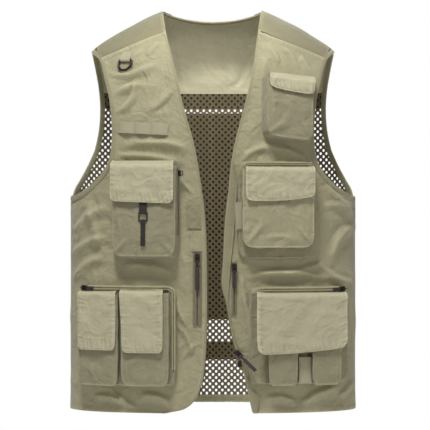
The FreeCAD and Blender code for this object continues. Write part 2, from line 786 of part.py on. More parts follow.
# places of the sliders: frame at the zip, and the way each puller hangs
TAPE_TOP = ON_CLOTH + 1.2
RIGHT_PLACKET_FRAME = frame_on_skin(-26.5, -424, TAPE_TOP + GAP, (0, 0, -1))
ON_TAPE = BODY_HEIGHT + 1.2 + 2 * GAP
LOWER_RIGHT_FRAME = frame_on_skin(foot(-219, -477.5, BODY_HEIGHT), -477.5, ON_TAPE,
                                  (0.99, 0, -0.05), POCKET_FLAT)
LOWER_LEFT_FRAME = frame_on_skin(foot(220, -479.5, BODY_HEIGHT), -479.5, ON_TAPE,
                                 (-0.99, 0, -0.05), POCKET_FLAT)
MAIN_FRAME = frame_on_skin(42, -588, PLACKET_TOP + GAP, (0.72, 0, -0.69))
MAIN_TILT = 27.0         # the main puller rests on the lower pocket's corner
LEFT_PLACKET_FRAME = frame_on_skin(36, -441, TAPE_TOP + GAP, (0, 0, -1))


def side_wall_strip(x_base, x_face, plane, z0, z1, start, end, low, high):
    """A band on the inner side wall of a pocket, between shares of its depth."""
    lower = []
    upper = []
    for k in range(7):
        z = z0 + (z1 - z0) * k / 6
        base = skin(x_base, z, FRONT, ON_CLOTH)
        face = on_plane(plane, x_face, z)
        out = V(0, 0, 1).cross(face - base)
        out.normalize()
        if out.x < 0:
            out = out * -1
        for rows, height in ((lower, low), (upper, high)):
            rows.append([base + (face - base) * start + out * height,
                         base + (face - base) * end + out * height])
    return solid_between(lower, upper)


def chest_slider_frame():
    z = -283.0
    base = skin(-55.6, z, FRONT, ON_CLOTH)
    face = on_plane(CHEST_PLANE, -64, z)
    out = (face - base).cross(V(0, 0, 1))
    out.normalize()
    if out.x < 0:
        out = out * -1
    return frame_on(base + (face - base) * 0.5 + out * (1.2 + 2 * GAP), out, V(0, 0, -1))


CHEST_SLIDER_FRAME = chest_slider_frame()


def zip_teeth():
    """Both rows of coil, as two slim rods along the tapes."""
    rods = []
    for outline, sign, z0, z1 in ((RIGHT_EDGE, -1, -318, -640), (LEFT_EDGE, 1, -318, -596)):
        rows = []
        steps = 24
        for k in range(steps + 1):
            z = z0 + (z1 - z0) * k / steps
            x = across_at(outline, z)
            rows.append([(sign * (x - 1.2), z), (sign * (x + 0.2), z)])
        rods.append(cloth(rows, FRONT, -0.3, 1.3))
    return rods


def zip_ends():
    """Top stops, and the box at the foot of the left tape."""
    pieces = []
    for sign, outline in ((-1, RIGHT_EDGE), (1, LEFT_EDGE)):
        x = across_at(outline, -314) - 1.0
        frame = frame_on_skin(sign * x, -314, 0.6, (0, 0, -1))
        pieces.append(local_box(frame, (3.0, 4.0, 2.4), (0, 0, 1.2), 0.4))
    box_frame = frame_on_skin(across_at(LEFT_EDGE, -606) - 3.0, -606, 0.6, (0.2, 0, -1))
    pieces.append(local_box(box_frame, (7.0, 11.0, 3.4), (0, 0, 1.7), 0.6))
    pin_frame = frame_on_skin(-across_at(RIGHT_EDGE, -652) + 2.0, -652, 0.6, (-0.2, 0, -1))
    pieces.append(local_box(pin_frame, (2.4, 14.0, 2.4), (0, 0, 1.2), 0.5))
    return pieces


def edge_band(outline, sign, z0, z1, start, end, low, high, steps):
    """A band along a free edge, from start to end millimetres back from it."""
    rows = []
    for k in range(steps + 1):
        z = z0 + (z1 - z0) * k / steps
        x = across_at(outline, z)
        rows.append([(sign * (x + start), z), (sign * (x + (start + end) / 2), z),
                     (sign * (x + end), z)])
    return cloth(rows, FRONT, low, high)


def left_placket():
    """Folded band over the left front's edge, from below the neck opening to the hem."""
    rows = []
    steps = 30
    top = -264.0
    for k in range(steps + 1):
        z = top - (LENGTH + top) * k / steps
        x0 = across_at(LEFT_EDGE, z) + 3.5
        x1 = max(across_at(LEFT_FOLD, z), x0 + 1.5)
        rows.append([(x0, z), ((x0 + x1) / 2, z), (x1, z)])
    return cloth(rows, FRONT, ON_CLOTH, PLACKET_TOP)


def main():
    save("front_panel_right", front_panel(-1, RIGHT_EDGE, 3.0))
    save("front_panel_left", front_panel(1, LEFT_EDGE, 3.0))
    save("shoulder_yoke_right", shoulder_yoke(-1, RIGHT_EDGE))
    save("shoulder_yoke_left", shoulder_yoke(1, LEFT_EDGE))
    save("back_yoke", back_yoke())
    save("back_mesh", back_mesh())
    save("back_pocket", back_sheet(-170, -542, lambda z: 165.0, ON_CLOTH, 10.0, 10))
    save("back_waist_band", back_sheet(-582, -614, lambda z: 238.0, ON_CLOTH, 4.6, 2))
    save("back_hem", back_sheet(MESH_END - GAP, -LENGTH, lambda z: HALF_WIDTH, -0.8, 2.8, 2, 15))
    save("neck_binding", neck_binding())
    save("armhole_binding_right", *armhole_binding(-1))
    save("armhole_binding_left", *armhole_binding(1))
    save("left_placket", left_placket())
    save("main_zip_tape_right", edge_band(RIGHT_EDGE, -1, -306, -672, 0.0, 11.0, -2.0, -0.5, 18))
    save("main_zip_tape_left", edge_band(LEFT_EDGE, 1, -308, -600, 0.0, 10.0, -2.0, -0.5, 18))
    save("main_zip_teeth", *zip_teeth())
    save("main_zip_ends", *zip_ends())
    save("main_zip_slider", zip_slider(MAIN_FRAME))
    save("main_zip_puller", zip_puller(tilted(MAIN_FRAME, MAIN_TILT), 8.0, 28.0))

    save("d_ring_loop", d_ring_loop())
    save("d_ring", d_ring())
    save("tool_webbing", tool_webbing())
    save("id_patch", cloth(quad_rows(box_corners(-44, -20, -333, -376), 4, 4), FRONT,
                           ON_CLOTH, ON_CLOTH + 1.0))
    save("chest_pocket_right", open_pocket(CHEST_PLANE, CHEST_BASE, CHEST_FACE, ON_CLOTH, 1.0))
    save("chest_flap", flap(CHEST_PLANE, CHEST_FLAP))
    save("chest_zip_tape", side_wall_strip(-55.6, -64, CHEST_PLANE, -276, -388, 0.3, 0.7,
                                           GAP, GAP + 1.2))
    save("chest_zip_slider", zip_slider(CHEST_SLIDER_FRAME))
    save("tether_tab", tether_tab())
    save("tether_ring", tether_ring())
    save("tether_strap", tether_strap())

    for name, x0, x1, z0, z1, frame, ring, tab in (
            ("right_placket_zip", -34, -19, -418, -540, RIGHT_PLACKET_FRAME, 10.0, 38.0),
            ("left_placket_zip", 31.5, 40.5, -434, -522, LEFT_PLACKET_FRAME, 6.0, 20.0)):
        rows = quad_rows(box_corners(x0, x1, z0, z1), 8, 4)
        save(name + "_tape", cloth(rows, FRONT, ON_CLOTH, TAPE_TOP))
        save(name + "_slider", zip_slider(frame))
        save(name + "_puller", zip_puller(frame, ring, tab))

    save("lower_pocket_right", curved_pocket(-233, -62.5, -473.5, -644, BODY_HEIGHT))
    save("lower_pocket_left", curved_pocket(62, 234, -475, -641, BODY_HEIGHT))
    save("mid_pocket_rear", curved_pocket(42, 172, -262.5, -428.5, MID_REAR_HEIGHT))
    for name, path, width, height in (
            ("lower_right_zip_tape", corner_path(-222, -66.5, -477.5, -615, 12), 6.0, BODY_HEIGHT),
            ("lower_left_zip_tape", corner_path(226, 84, -479.5, -479.5, 0), 6.0, BODY_HEIGHT),
            ("mid_zip_tape", corner_path(56, 168, -266.3, -266.3, 0), 4.0, MID_REAR_HEIGHT)):
        rows = strip_rows([(foot(x, z, height), z) for x, z in path], width, 24)
        save(name, cloth(rows, FRONT, height + GAP, height + GAP + 1.2, POCKET_FLAT))
    save("lower_right_slider", zip_slider(LOWER_RIGHT_FRAME))
    save("lower_right_puller", zip_puller(LOWER_RIGHT_FRAME, 0.0, 14.0))
    save("lower_left_slider", zip_slider(LOWER_LEFT_FRAME))
    save("lower_left_puller", zip_puller(LOWER_LEFT_FRAME, 0.0, 14.0))

    save("cell_pocket_outer", cell(OUTER_PLANE, OUTER_FACE))
    save("cell_pocket_inner", cell(INNER_PLANE, INNER_FACE))
    save("outer_cell_flap", flap(OUTER_PLANE, OUTER_FLAP))
    save("inner_cell_flap", flap(INNER_PLANE, INNER_FLAP))
    save("small_pocket_left", open_pocket(SMALL_PLANE, SMALL_BASE, SMALL_FACE, 3.4, 1.0))
    save("small_flap", flap(SMALL_PLANE, SMALL_FLAP, 5.0))
    save("mid_pocket_left", mid_front_pocket())
    save("mid_flap", flap(MID_PLANE, MID_FLAP))
    save("lower_left_cells", *[cell(LEFT_PLANE, face) for face in LEFT_CELLS])
    save("lower_left_flap", flap(LEFT_PLANE, LEFT_FLAP))
    save("lower_left_strap", curved_strip(145, 166, -594, -639, BODY_HEIGHT, 2.0))
    save("mid_pull_tab", curved_strip(38, 49.5, -332, -378, MID_REAR_HEIGHT, 1.4))
    save("flap_tops", *flap_tops())
    save("loop_patches", *loop_patches())


main()
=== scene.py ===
import json
import math

import bpy
import numpy as np
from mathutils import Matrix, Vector

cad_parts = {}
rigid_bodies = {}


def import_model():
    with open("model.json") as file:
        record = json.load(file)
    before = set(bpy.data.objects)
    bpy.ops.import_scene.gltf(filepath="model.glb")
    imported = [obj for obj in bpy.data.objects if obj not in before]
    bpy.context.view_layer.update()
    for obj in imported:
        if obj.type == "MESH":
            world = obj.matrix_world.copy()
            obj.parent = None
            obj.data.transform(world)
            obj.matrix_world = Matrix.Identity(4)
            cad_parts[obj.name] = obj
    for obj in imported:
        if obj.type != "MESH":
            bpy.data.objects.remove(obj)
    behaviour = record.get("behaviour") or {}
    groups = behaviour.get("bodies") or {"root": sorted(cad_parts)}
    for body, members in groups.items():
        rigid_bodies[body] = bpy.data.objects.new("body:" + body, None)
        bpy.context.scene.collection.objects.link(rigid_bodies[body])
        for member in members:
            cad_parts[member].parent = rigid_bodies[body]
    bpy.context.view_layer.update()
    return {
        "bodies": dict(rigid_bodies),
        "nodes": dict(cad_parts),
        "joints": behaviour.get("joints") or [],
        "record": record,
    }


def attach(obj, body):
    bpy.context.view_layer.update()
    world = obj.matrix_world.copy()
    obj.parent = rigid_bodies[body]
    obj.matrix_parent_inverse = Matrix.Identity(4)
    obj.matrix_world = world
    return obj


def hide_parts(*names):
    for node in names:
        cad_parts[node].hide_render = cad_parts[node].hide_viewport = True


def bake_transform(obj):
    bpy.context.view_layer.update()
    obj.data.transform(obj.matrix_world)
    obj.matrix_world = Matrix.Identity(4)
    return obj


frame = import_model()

# The looks of a fishing vest. Shapes are worked out in millimetres in the CAD frame, on the same
# body surface as the CAD parts, and become metres when a mesh is made.

MM = 0.001
FRONT = -1
BACK = 1
OUT_FRONT = (0.0, -1.0, 0.0)
OUT_BACK = (0.0, 1.0, 0.0)

# ---- the body's surface, as in the CAD design ----
LENGTH = 690.0
HALF_WIDTH = 247.0
FRONT_DEPTH = 115.0
BACK_DEPTH = 105.0
ROUNDNESS = 2.4
NECK_HALF = 86.0
NECK_DROP = 12.0
SHOULDER_SLOPE = 0.44
SHOULDER_DROOP = 0.0009
FRONT_ROUNDING = 160.0
BACK_ROUNDING = 95.0
ARMPIT = -324.0
CLOTH = 1.6
GAP = 0.5
ON_CLOTH = CLOTH + GAP
BINDING = 8.0
YOKE_AT_NECK = -40.0
YOKE_FALL = 0.412
BACK_SEAM_DROP = 3.4
BACK_YOKE_END = -135.0
NET_END = -680.0
POCKET_FLAT = 0.45
BODY_HEIGHT = 14.0
MID_REAR_HEIGHT = 11.0
FLAP_LIFT = 3.0

# outlines: (distance from the middle, height)
RIGHT_EDGE = [(87, 0), (82, -34), (67, -95), (48.5, -174), (32, -233), (19.5, -305), (13, -362),
              (10.4, -430), (10.4, -540), (14, -610), (20, -645), (31, -668), (49, -683),
              (78, -690)]
LEFT_EDGE = [(84, 0), (78, -34), (64, -124), (50, -180), (36, -235), (30, -270), (26, -312),
             (20, -369), (17, -433), (15, -472), (23, -506), (36, -575), (47, -602), (59, -655),
             (67, -690)]
LEFT_FOLD = [(33, -262), (37, -282), (40, -306), (38, -344), (34, -394), (28.5, -450),
             (26, -518), (36, -562), (52, -597), (59, -622), (60, -643), (76, -662), (74, -690)]
FRONT_ARMHOLE = [(200, -70), (195, -88), (185, -122), (177, -155), (172.7, -195), (172.7, -229),
                 (177, -258), (188.5, -280), (208.5, -301), (228.5, -315), (246.6, -324)]
BACK_ARMHOLE = [(212, -72), (208, -96), (203, -130), (201, -165), (203, -200), (210, -236),
                (217, -254), (226, -274), (236, -294), (242, -306), (246.6, -324)]


def ridge(x):
    """Height of the shoulder ridge."""
    run = np.maximum(np.abs(x) - NECK_HALF, 0.0)
    return -SHOULDER_SLOPE * run - SHOULDER_DROOP * run * run


def ridge_slope(x):
    run = np.maximum(np.abs(x) - NECK_HALF, 0.0)
    return np.where(run > 0, np.copysign(SHOULDER_SLOPE + 2 * SHOULDER_DROOP * run, -x), 0.0)


def rounding(side):
    return FRONT_ROUNDING if side == FRONT else BACK_ROUNDING


def skin(x, z, side, height=0.0, lean=1.0):
    """Points on the body at (x, z), raised outwards; lean scales the sideways part."""
    x, z, height = np.broadcast_arrays(*[np.asarray(v, float) for v in (x, z, height)])
    full = FRONT_DEPTH if side == FRONT else BACK_DEPTH
    share = np.minimum(np.abs(x) / HALF_WIDTH, 1.0 - 1e-7)
    rest = 1.0 - share ** ROUNDNESS
    depth = full * rest ** (1 / ROUNDNESS)
    slope = -full / HALF_WIDTH * share ** (ROUNDNESS - 1) * rest ** (1 / ROUNDNESS - 1)
    slope = np.copysign(slope, -x)
    roll = np.maximum(1.0 - np.maximum(ridge(x) - z, 0.0) / rounding(side), 0.0)
    reach = depth * np.sqrt(1.0 - roll * roll)
    up = depth * depth * roll / rounding(side)
    across = -reach * reach * slope / depth - up * ridge_slope(x)
    normal = np.stack([across * lean, side * reach, up], -1)
    normal /= np.maximum(np.linalg.norm(normal, axis=-1, keepdims=True), 1e-9)
    return np.stack([x, side * (reach + GAP / 2), z], -1) + normal * height[..., None]


def travel(drop, side):
    """Distance over the surface from the ridge down to a drop below it."""
    size = rounding(side)
    near = size * np.arccos(1.0 - np.clip(drop, 0.0, size) / size)
    return np.where(drop >= size, size * math.pi / 2 + drop - size, near)


def drop_after(distance, side):
    """The drop below the ridge after a distance over the surface."""
    size = rounding(side)
    quarter = size * math.pi / 2
    return np.where(distance >= quarter, distance - quarter + size,
                    size * (1.0 - np.cos(np.minimum(distance, quarter) / size)))


def foot(x, z, height, lean=POCKET_FLAT):
    """Where on the body a point stands that is raised by height and seen at x."""
    x = np.asarray(x, float)
    guess = x.copy()
    for _ in range(40):
        guess = guess + 0.4 * (x - skin(guess, z, FRONT, height, lean)[..., 0])
    return guess


def curve_of(outline):
    """A function that gives the distance from the middle at height z, smoothly."""
    heights = []
    places = []
    last = len(outline) - 1
    for k in range(last):
        (x0, z0), (x1, z1) = outline[k], outline[k + 1]
        chord = (x1 - x0) / (z1 - z0)
        before = chord
        after = chord
        if k > 0:
            before = (x1 - outline[k - 1][0]) / (z1 - outline[k - 1][1])
        if k + 1 < last:
            after = (outline[k + 2][0] - x0) / (outline[k + 2][1] - z0)
        t = np.linspace(0, 1, 24)
        span = z1 - z0
        places.append((2 * t ** 3 - 3 * t ** 2 + 1) * x0
                      + (t ** 3 - 2 * t ** 2 + t) * span * before
                      + (3 * t ** 2 - 2 * t ** 3) * x1
                      + (t ** 3 - t ** 2) * span * after)
        heights.append(z0 + span * t)
    heights = np.concatenate(heights)[::-1]
    places = np.concatenate(places)[::-1]
    return lambda z: np.interp(z, heights, places)


def inset(outline, width):
    """The outline moved towards the middle of the body."""
    moved = []
    for index, (x, z) in enumerate(outline):
        near = outline[max(index - 1, 0)]
        far = outline[min(index + 1, len(outline) - 1)]
        run_x = far[0] - near[0]
        run_z = far[1] - near[1]
        size = math.hypot(run_x, run_z)
        moved.append((x + width * run_z / size, z - width * run_x / size))
    return moved


right_edge = curve_of(RIGHT_EDGE)
left_edge = curve_of(LEFT_EDGE)
left_fold = curve_of(LEFT_FOLD)
arm_front = curve_of(inset(FRONT_ARMHOLE, BINDING - 3.0))
arm_back = curve_of(inset(BACK_ARMHOLE, BINDING - 3.0))


def yoke_seam(x):
    """Height of the seam between a front and its yoke."""
    return YOKE_AT_NECK - YOKE_FALL * (np.abs(x) - NECK_HALF)


def back_neck_drop(x):
    """How far the back of the neck lies below the shoulder ridge."""
    return NECK_DROP * (1.0 - np.minimum(np.abs(x) / NECK_HALF, 1.0) ** 2)


# ---- reliefs ----

def smooth(t):
    """A soft step from 0 to 1."""
    t = np.clip(t, 0.0, 1.0)
    return t * t * (3 - 2 * t)


def waves(values, seed, periods):
    """A smooth uneven line: sines of several periods with seeded phases."""
    rng = np.random.default_rng(seed)
    total = np.zeros_like(values)
    for period in periods:
        stretch = rng.uniform(0.85, 1.2)
        total = total + np.sin(values * 2 * math.pi / (period * stretch) + rng.uniform(0, 6.28))
    return total / len(periods)


def cloud(x, z, seed, period):
    """A soft uneven field over the cloth, from about -1 to 1."""
    rng = np.random.default_rng(seed)
    total = np.zeros_like(x)
    for _ in range(7):
        angle = rng.uniform(0, math.pi)
        size = period * rng.uniform(0.6, 1.7)
        total = total + np.sin((x * math.cos(angle) + z * math.sin(angle)) * 2 * math.pi / size
                               + rng.uniform(0, 6.28))
    return total / 3.0


def fold(x, z, start, end, width, height, bow=0.0):
    """A soft ridge from start to end with a valley beside it; bow bends the line."""
    run = np.array(end, float) - np.array(start, float)
    size = np.linalg.norm(run)
    run = run / size
    along = (x - start[0]) * run[0] + (z - start[1]) * run[1]
    t = along / size
    off = (x - start[0]) * -run[1] + (z - start[1]) * run[0] - bow * 4 * t * (1 - t)
    off = off / width
    off = np.where(off > 0, off * 1.5, off * 0.8)
    fade = smooth(t / 0.35 + 0.3) * smooth((1 - t) / 0.35 + 0.3)
    return height * (1 - 1.3 * off * off) * np.exp(-off * off) * fade


# ---- meshes ----

def lengths(points, axis):
    """Distance along a grid's rows or columns, from their first point."""
    steps = np.linalg.norm(np.diff(points, axis=axis), axis=-1)
    shape = list(points.shape[:2])
    shape[axis] = 1
    return np.concatenate([np.zeros(shape), np.cumsum(steps, axis=axis)], axis=axis)


def reach_along(line):
    """Distance along a line of points, from its first one."""
    steps = np.linalg.norm(np.diff(line, axis=0), axis=1)
    return np.concatenate([[0], np.cumsum(steps)])


def at_reach(values, reach, wanted):
    """Rows of values, read off at wanted distances along their line."""
    return np.stack([np.interp(wanted, reach, column) for column in values.T], -1)


def sideways(places):
    """Directions in x and z at right angles to a line of (x, z) places."""
    run = np.gradient(places, axis=0)
    run /= np.linalg.norm(run, axis=1, keepdims=True)
    return np.stack([-run[:, 1], run[:, 0]], -1)


def grid_quads(index):
    """Four-cornered faces between a grid's points."""
    quads = np.stack([index[:-1, :-1], index[:-1, 1:], index[1:, 1:], index[1:, :-1]], -1)
    return quads.reshape(-1, 4)


def face_normals(points, quads):
    """Normals of four-cornered faces, as long as twice their areas."""
    a, b, c, d = [points[quads[:, k]] for k in range(4)]
    return np.cross(c - a, d - b)


def layer_faces(quads, count):
    """A closed layer over count points and the same again below: two sides, and the walls
    between them along every open edge."""
    edges = np.stack([quads.ravel(), np.roll(quads, -1, axis=1).ravel()], -1)
    key = np.sort(edges, axis=1) @ np.array([count, 1])
    _, first, uses = np.unique(key, return_index=True, return_counts=True)
    rim = edges[first[uses == 1]]
    walls = np.stack([rim[:, 1], rim[:, 0], rim[:, 0] + count, rim[:, 1] + count], -1)
    return np.concatenate([quads, quads[:, ::-1] + count, walls])


def grid_normals(points, out):
    """Normals of a grid of points, on the side that out points to."""
    rows = np.gradient(points, axis=0)
    columns = np.gradient(points, axis=1)
    normal = np.cross(columns, rows)
    size = np.linalg.norm(normal, axis=-1, keepdims=True)
    normal = np.where(size > 1e-9, normal / np.maximum(size, 1e-9), np.array(out, float))
    if (normal @ np.array(out, float)).mean() < 0:
        normal = -normal
    return normal


class Form:
    """The points and faces of one piece, in millimetres, with a cloth place at every point."""

    def __init__(self):
        self.points = []
        self.weave = []
        self.faces = []
        self.slots = []
        self.count = 0

    def add(self, points, face_sets, slot=0, weave=None):
        """Adds points with one or more lists of faces, each with its own number of corners."""
        points = np.asarray(points, float).reshape(-1, 3)
        if weave is None:
            weave = points[:, [0, 2]]
        self.points.append(points)
        self.weave.append(np.asarray(weave, float).reshape(-1, 2))
        for faces in face_sets:
            self.faces.append(np.asarray(faces) + self.count)
            self.slots.append(np.full(len(faces), slot))
        self.count += len(points)

    def sheet(self, points, thick, out, slot=0, keep=None):
        """A layer of cloth whose upper side is the grid of points; returns its normals."""
        rows, columns = points.shape[:2]
        index = np.arange(rows * columns).reshape(rows, columns)
        quads = grid_quads(index)
        quads = quads if keep is None else quads[keep]
        normal = grid_normals(points, out)
        flat = points.reshape(-1, 3)
        outward = normal.reshape(-1, 3)
        if (face_normals(flat, quads) * outward[quads[:, 0]]).sum() < 0:
            quads = quads[:, ::-1]
        place = np.stack([lengths(points, 1), lengths(points, 0)], -1).reshape(-1, 2)
        self.add(np.concatenate([flat, flat - outward * thick]), [layer_faces(quads, len(flat))],
                 slot, np.concatenate([place, place]))
        return normal

    def tube(self, rings):
        """A skin over rings of points, (stations, around, 3), closed at both ends."""
        stations, around = rings.shape[:2]
        index = np.arange(stations * around).reshape(stations, around)
        quads = grid_quads(np.hstack([index, index[:, :1]]))
        flat = rings.reshape(-1, 3)
        from_middle = flat - np.repeat(rings.mean(1), around, axis=0)
        inside_out = (face_normals(flat, quads) * from_middle[quads[:, 0]]).sum() < 0
        caps = [index[:1], index[-1:, ::-1]] if inside_out else [index[:1, ::-1], index[-1:]]
        self.add(flat, [quads[:, ::-1] if inside_out else quads] + caps)

    def stitches(self, line, normal, slot=1, pitch=3.0, thread=0.32, lift=0.1, across=0.0):
        """Small raised stitches along a line on the cloth, or bars of half-length across."""
        line = np.asarray(line, float)
        reach = reach_along(line)
        count = int(reach[-1] / pitch)
        if count < 2:
            return
        at = (np.arange(count) + 0.5) * reach[-1] / count
        half = 0.36 * pitch
        middle = at_reach(line, reach, at)
        run = at_reach(line, reach, at + half) - at_reach(line, reach, at - half)
        run /= np.maximum(np.linalg.norm(run, axis=1, keepdims=True), 1e-9)
        up = at_reach(np.asarray(normal, float), reach, at)
        up -= run * np.einsum("ij,ij->i", up, run)[:, None]
        up /= np.maximum(np.linalg.norm(up, axis=1, keepdims=True), 1e-9)
        aside = np.cross(run, up)
        if across > 0:
            run, aside, half = aside, -run, across
        middle = middle + up * lift
        parts = [middle - run * half]
        for share in (-0.45, 0.45):
            for x, y in ((1, 0), (0, 1), (-1, 0), (0, -1)):
                parts.append(middle + run * half * share + (aside * x + up * y) * thread)
        parts.append(middle + run * half)
        points = np.stack(parts, 1)
        tips = [(0, 2, 1), (0, 3, 2), (0, 4, 3), (0, 1, 4), (9, 5, 6), (9, 6, 7), (9, 7, 8),
                (9, 8, 5)]
        sides = [(1, 2, 6, 5), (2, 3, 7, 6), (3, 4, 8, 7), (4, 1, 5, 8)]
        start = (np.arange(count) * 10)[:, None, None]
        self.add(points, [(np.array(tips) + start).reshape(-1, 3),
                          (np.array(sides) + start).reshape(-1, 4)], slot)


def finish_piece(name, form, materials, body, stands_for=(), sharp=48):
    """Makes the Blender object of a form and lets it ride on a body, or on none."""
    points = np.concatenate(form.points)
    weave = np.concatenate(form.weave)
    used = np.zeros(len(points), bool)
    for faces in form.faces:
        used[faces] = True
    number = np.cumsum(used) - 1
    faces = [row for block in form.faces for row in number[block].tolist()]
    mesh = bpy.data.meshes.new(name)
    mesh.from_pydata((points[used] * MM).tolist(), [], faces)
    for material in materials:
        mesh.materials.append(material)
    mesh.polygons.foreach_set("material_index", np.concatenate(form.slots).astype(np.int32))
    mesh.polygons.foreach_set("use_smooth", np.ones(len(faces), bool))
    place = mesh.attributes.new("weave", "FLOAT_VECTOR", "POINT")
    flat = np.zeros((number[-1] + 1, 3), np.float32)
    flat[:, :2] = weave[used]
    place.data.foreach_set("vector", flat.ravel())
    mesh.update()
    mesh.set_sharp_from_angle(angle=math.radians(sharp))
    piece = bpy.data.objects.new(name, mesh)
    bpy.context.scene.collection.objects.link(piece)
    if body:
        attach(piece, body)
    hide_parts(*stands_for)
    return piece


# ---- sewing ----

EDGES = ("left", "right", "top", "bottom")


def edge_view(values, edge):
    """The grid turned so that the wanted edge is its first column."""
    if edge == "left":
        return values
    if edge == "right":
        return values[:, ::-1]
    turned = np.swapaxes(values, 0, 1)
    return turned if edge == "top" else turned[:, ::-1]


def inset_line(points, normals, edge, distance, trim=0.0):
    """Points and normals at a distance from an edge of the grid."""
    grid = edge_view(points, edge)
    normal = edge_view(normals, edge)
    reach = lengths(grid, 1)
    line = []
    up = []
    for row, raised, far in zip(grid, normal, reach):
        if far[-1] > distance:
            line.append(at_reach(row, far, distance))
            up.append(at_reach(raised, far, distance))
    line = np.array(line)
    up = np.array(up)
    if trim > 0 and len(line) > 2:
        far = reach_along(line)
        inside = (far > trim) & (far < far[-1] - trim)
        line = line[inside]
        up = up[inside]
    return line, up


def edge_distance(points, edge):
    """Distance of every point of a grid from one of its edges, over the cloth."""
    reach = lengths(edge_view(points, edge), 1)
    if edge == "left":
        return reach
    if edge == "right":
        return reach[:, ::-1]
    if edge == "top":
        return np.swapaxes(reach, 0, 1)
    return np.swapaxes(reach[:, ::-1], 0, 1)


def away_from_edges(points):
    """Distance of every point of a grid from its nearest edge."""
    return np.minimum.reduce([edge_distance(points, edge) for edge in EDGES])


def hem_relief(points, hems, seed, pucker=0.35, rise=0.7):
    """Raised hems with a groove at their stitches, and small puckers beside them."""
    relief = np.zeros(points.shape[:2])
    for number, (edge, width) in enumerate(hems.items()):
        away = edge_distance(points, edge)
        along = lengths(points, 0 if edge in ("left", "right") else 1)
        relief = np.maximum(relief, rise * smooth((width + 0.8 - away) / 1.6))
        relief = relief - 0.8 * np.exp(-((away - width + 1.4) / 1.2) ** 2)
        ripple = waves(along, seed + number, (6.5, 9.0, 14.0))
        near = np.exp(-np.abs(away - width) / 7.0)
        relief = relief + pucker * ripple * near
    return relief


def sewn_sheet(form, base, out, thick, hems, relief=None, seed=0, pucker=0.35, rise=0.7,
               lines=(1.4,)):
    """A cloth with hems on the named edges, stitched along each of them."""
    total = hem_relief(base, hems, seed, pucker, rise)
    if relief is not None:
        total = total + relief
    points = base + grid_normals(base, out) * total[..., None]
    normal = form.sheet(points, thick, out)
    for edge, width in hems.items():
        for back in lines:
            line, up = inset_line(points, normal, edge, width - back, 1.5)
            form.stitches(line, up)
    return points, normal


# ---- materials ----

def node(tree, kind, inputs=None, **settings):
    made = tree.nodes.new(kind)
    for name, value in settings.items():
        setattr(made, name, value)
    for name, value in (inputs or {}).items():
        if hasattr(value, "is_output") and value.is_output:
            tree.links.new(value, made.inputs[name])
        else:
            made.inputs[name].default_value = value
    return made


def linear(colour):
    """An sRGB colour of 0 to 255 as linear RGBA."""
    values = [c / 255 for c in colour]
    return [v / 12.92 if v < 0.04045 else ((v + 0.055) / 1.055) ** 2.4 for v in values] + [1.0]


def new_material(name):
    material = bpy.data.materials.new(name)
    material.use_nodes = True
    tree = material.node_tree
    tree.nodes.clear()
    output = tree.nodes.new("ShaderNodeOutputMaterial")
    shader = tree.nodes.new("ShaderNodeBsdfPrincipled")
    tree.links.new(shader.outputs[0], output.inputs[0])
    return material, tree, shader


def mix(tree, factor, a, b, blend="MIX"):
    made = tree.nodes.new("ShaderNodeMix")
    made.data_type = "RGBA"
    made.blend_type = blend
    for place, value in ((0, factor), (6, a), (7, b)):
        if hasattr(value, "is_output"):
            tree.links.new(value, made.inputs[place])
        else:
            made.inputs[place].default_value = value
    return made.outputs[2]


def object_place(tree):
    return node(tree, "ShaderNodeTexCoord").outputs["Object"]


def weave_place(tree):
    return node(tree, "ShaderNodeAttribute", attribute_name="weave").outputs["Vector"]


def noise(tree, place, scale, detail, roughness=0.5, distortion=0.0):
    return node(tree, "ShaderNodeTexNoise", {
        "Vector": place, "Scale": scale, "Detail": detail, "Roughness": roughness,
        "Distortion": distortion}).outputs["Fac"]


def spread(tree, value, low, high, start=0.0, end=1.0):
    """The value's range from start to end, moved to run from low to high."""
    return node(tree, "ShaderNodeMapRange", {
        "Value": value, "From Min": start, "From Max": end, "To Min": low,
        "To Max": high}).outputs[0]


def bump(tree, height, strength, distance, below=None):
    inputs = {"Height": height, "Strength": strength, "Distance": distance}
    if below is not None:
        inputs["Normal"] = below
    return node(tree, "ShaderNodeBump", inputs).outputs[0]


def worn_edges(tree, tone, colour, start, end, most):
    """The tone, mixed with a lighter colour where the shape has a ridge."""
    ridges = node(tree, "ShaderNodeNewGeometry").outputs["Pointiness"]
    return mix(tree, spread(tree, ridges, 0.0, most, start, end), tone, linear(colour))


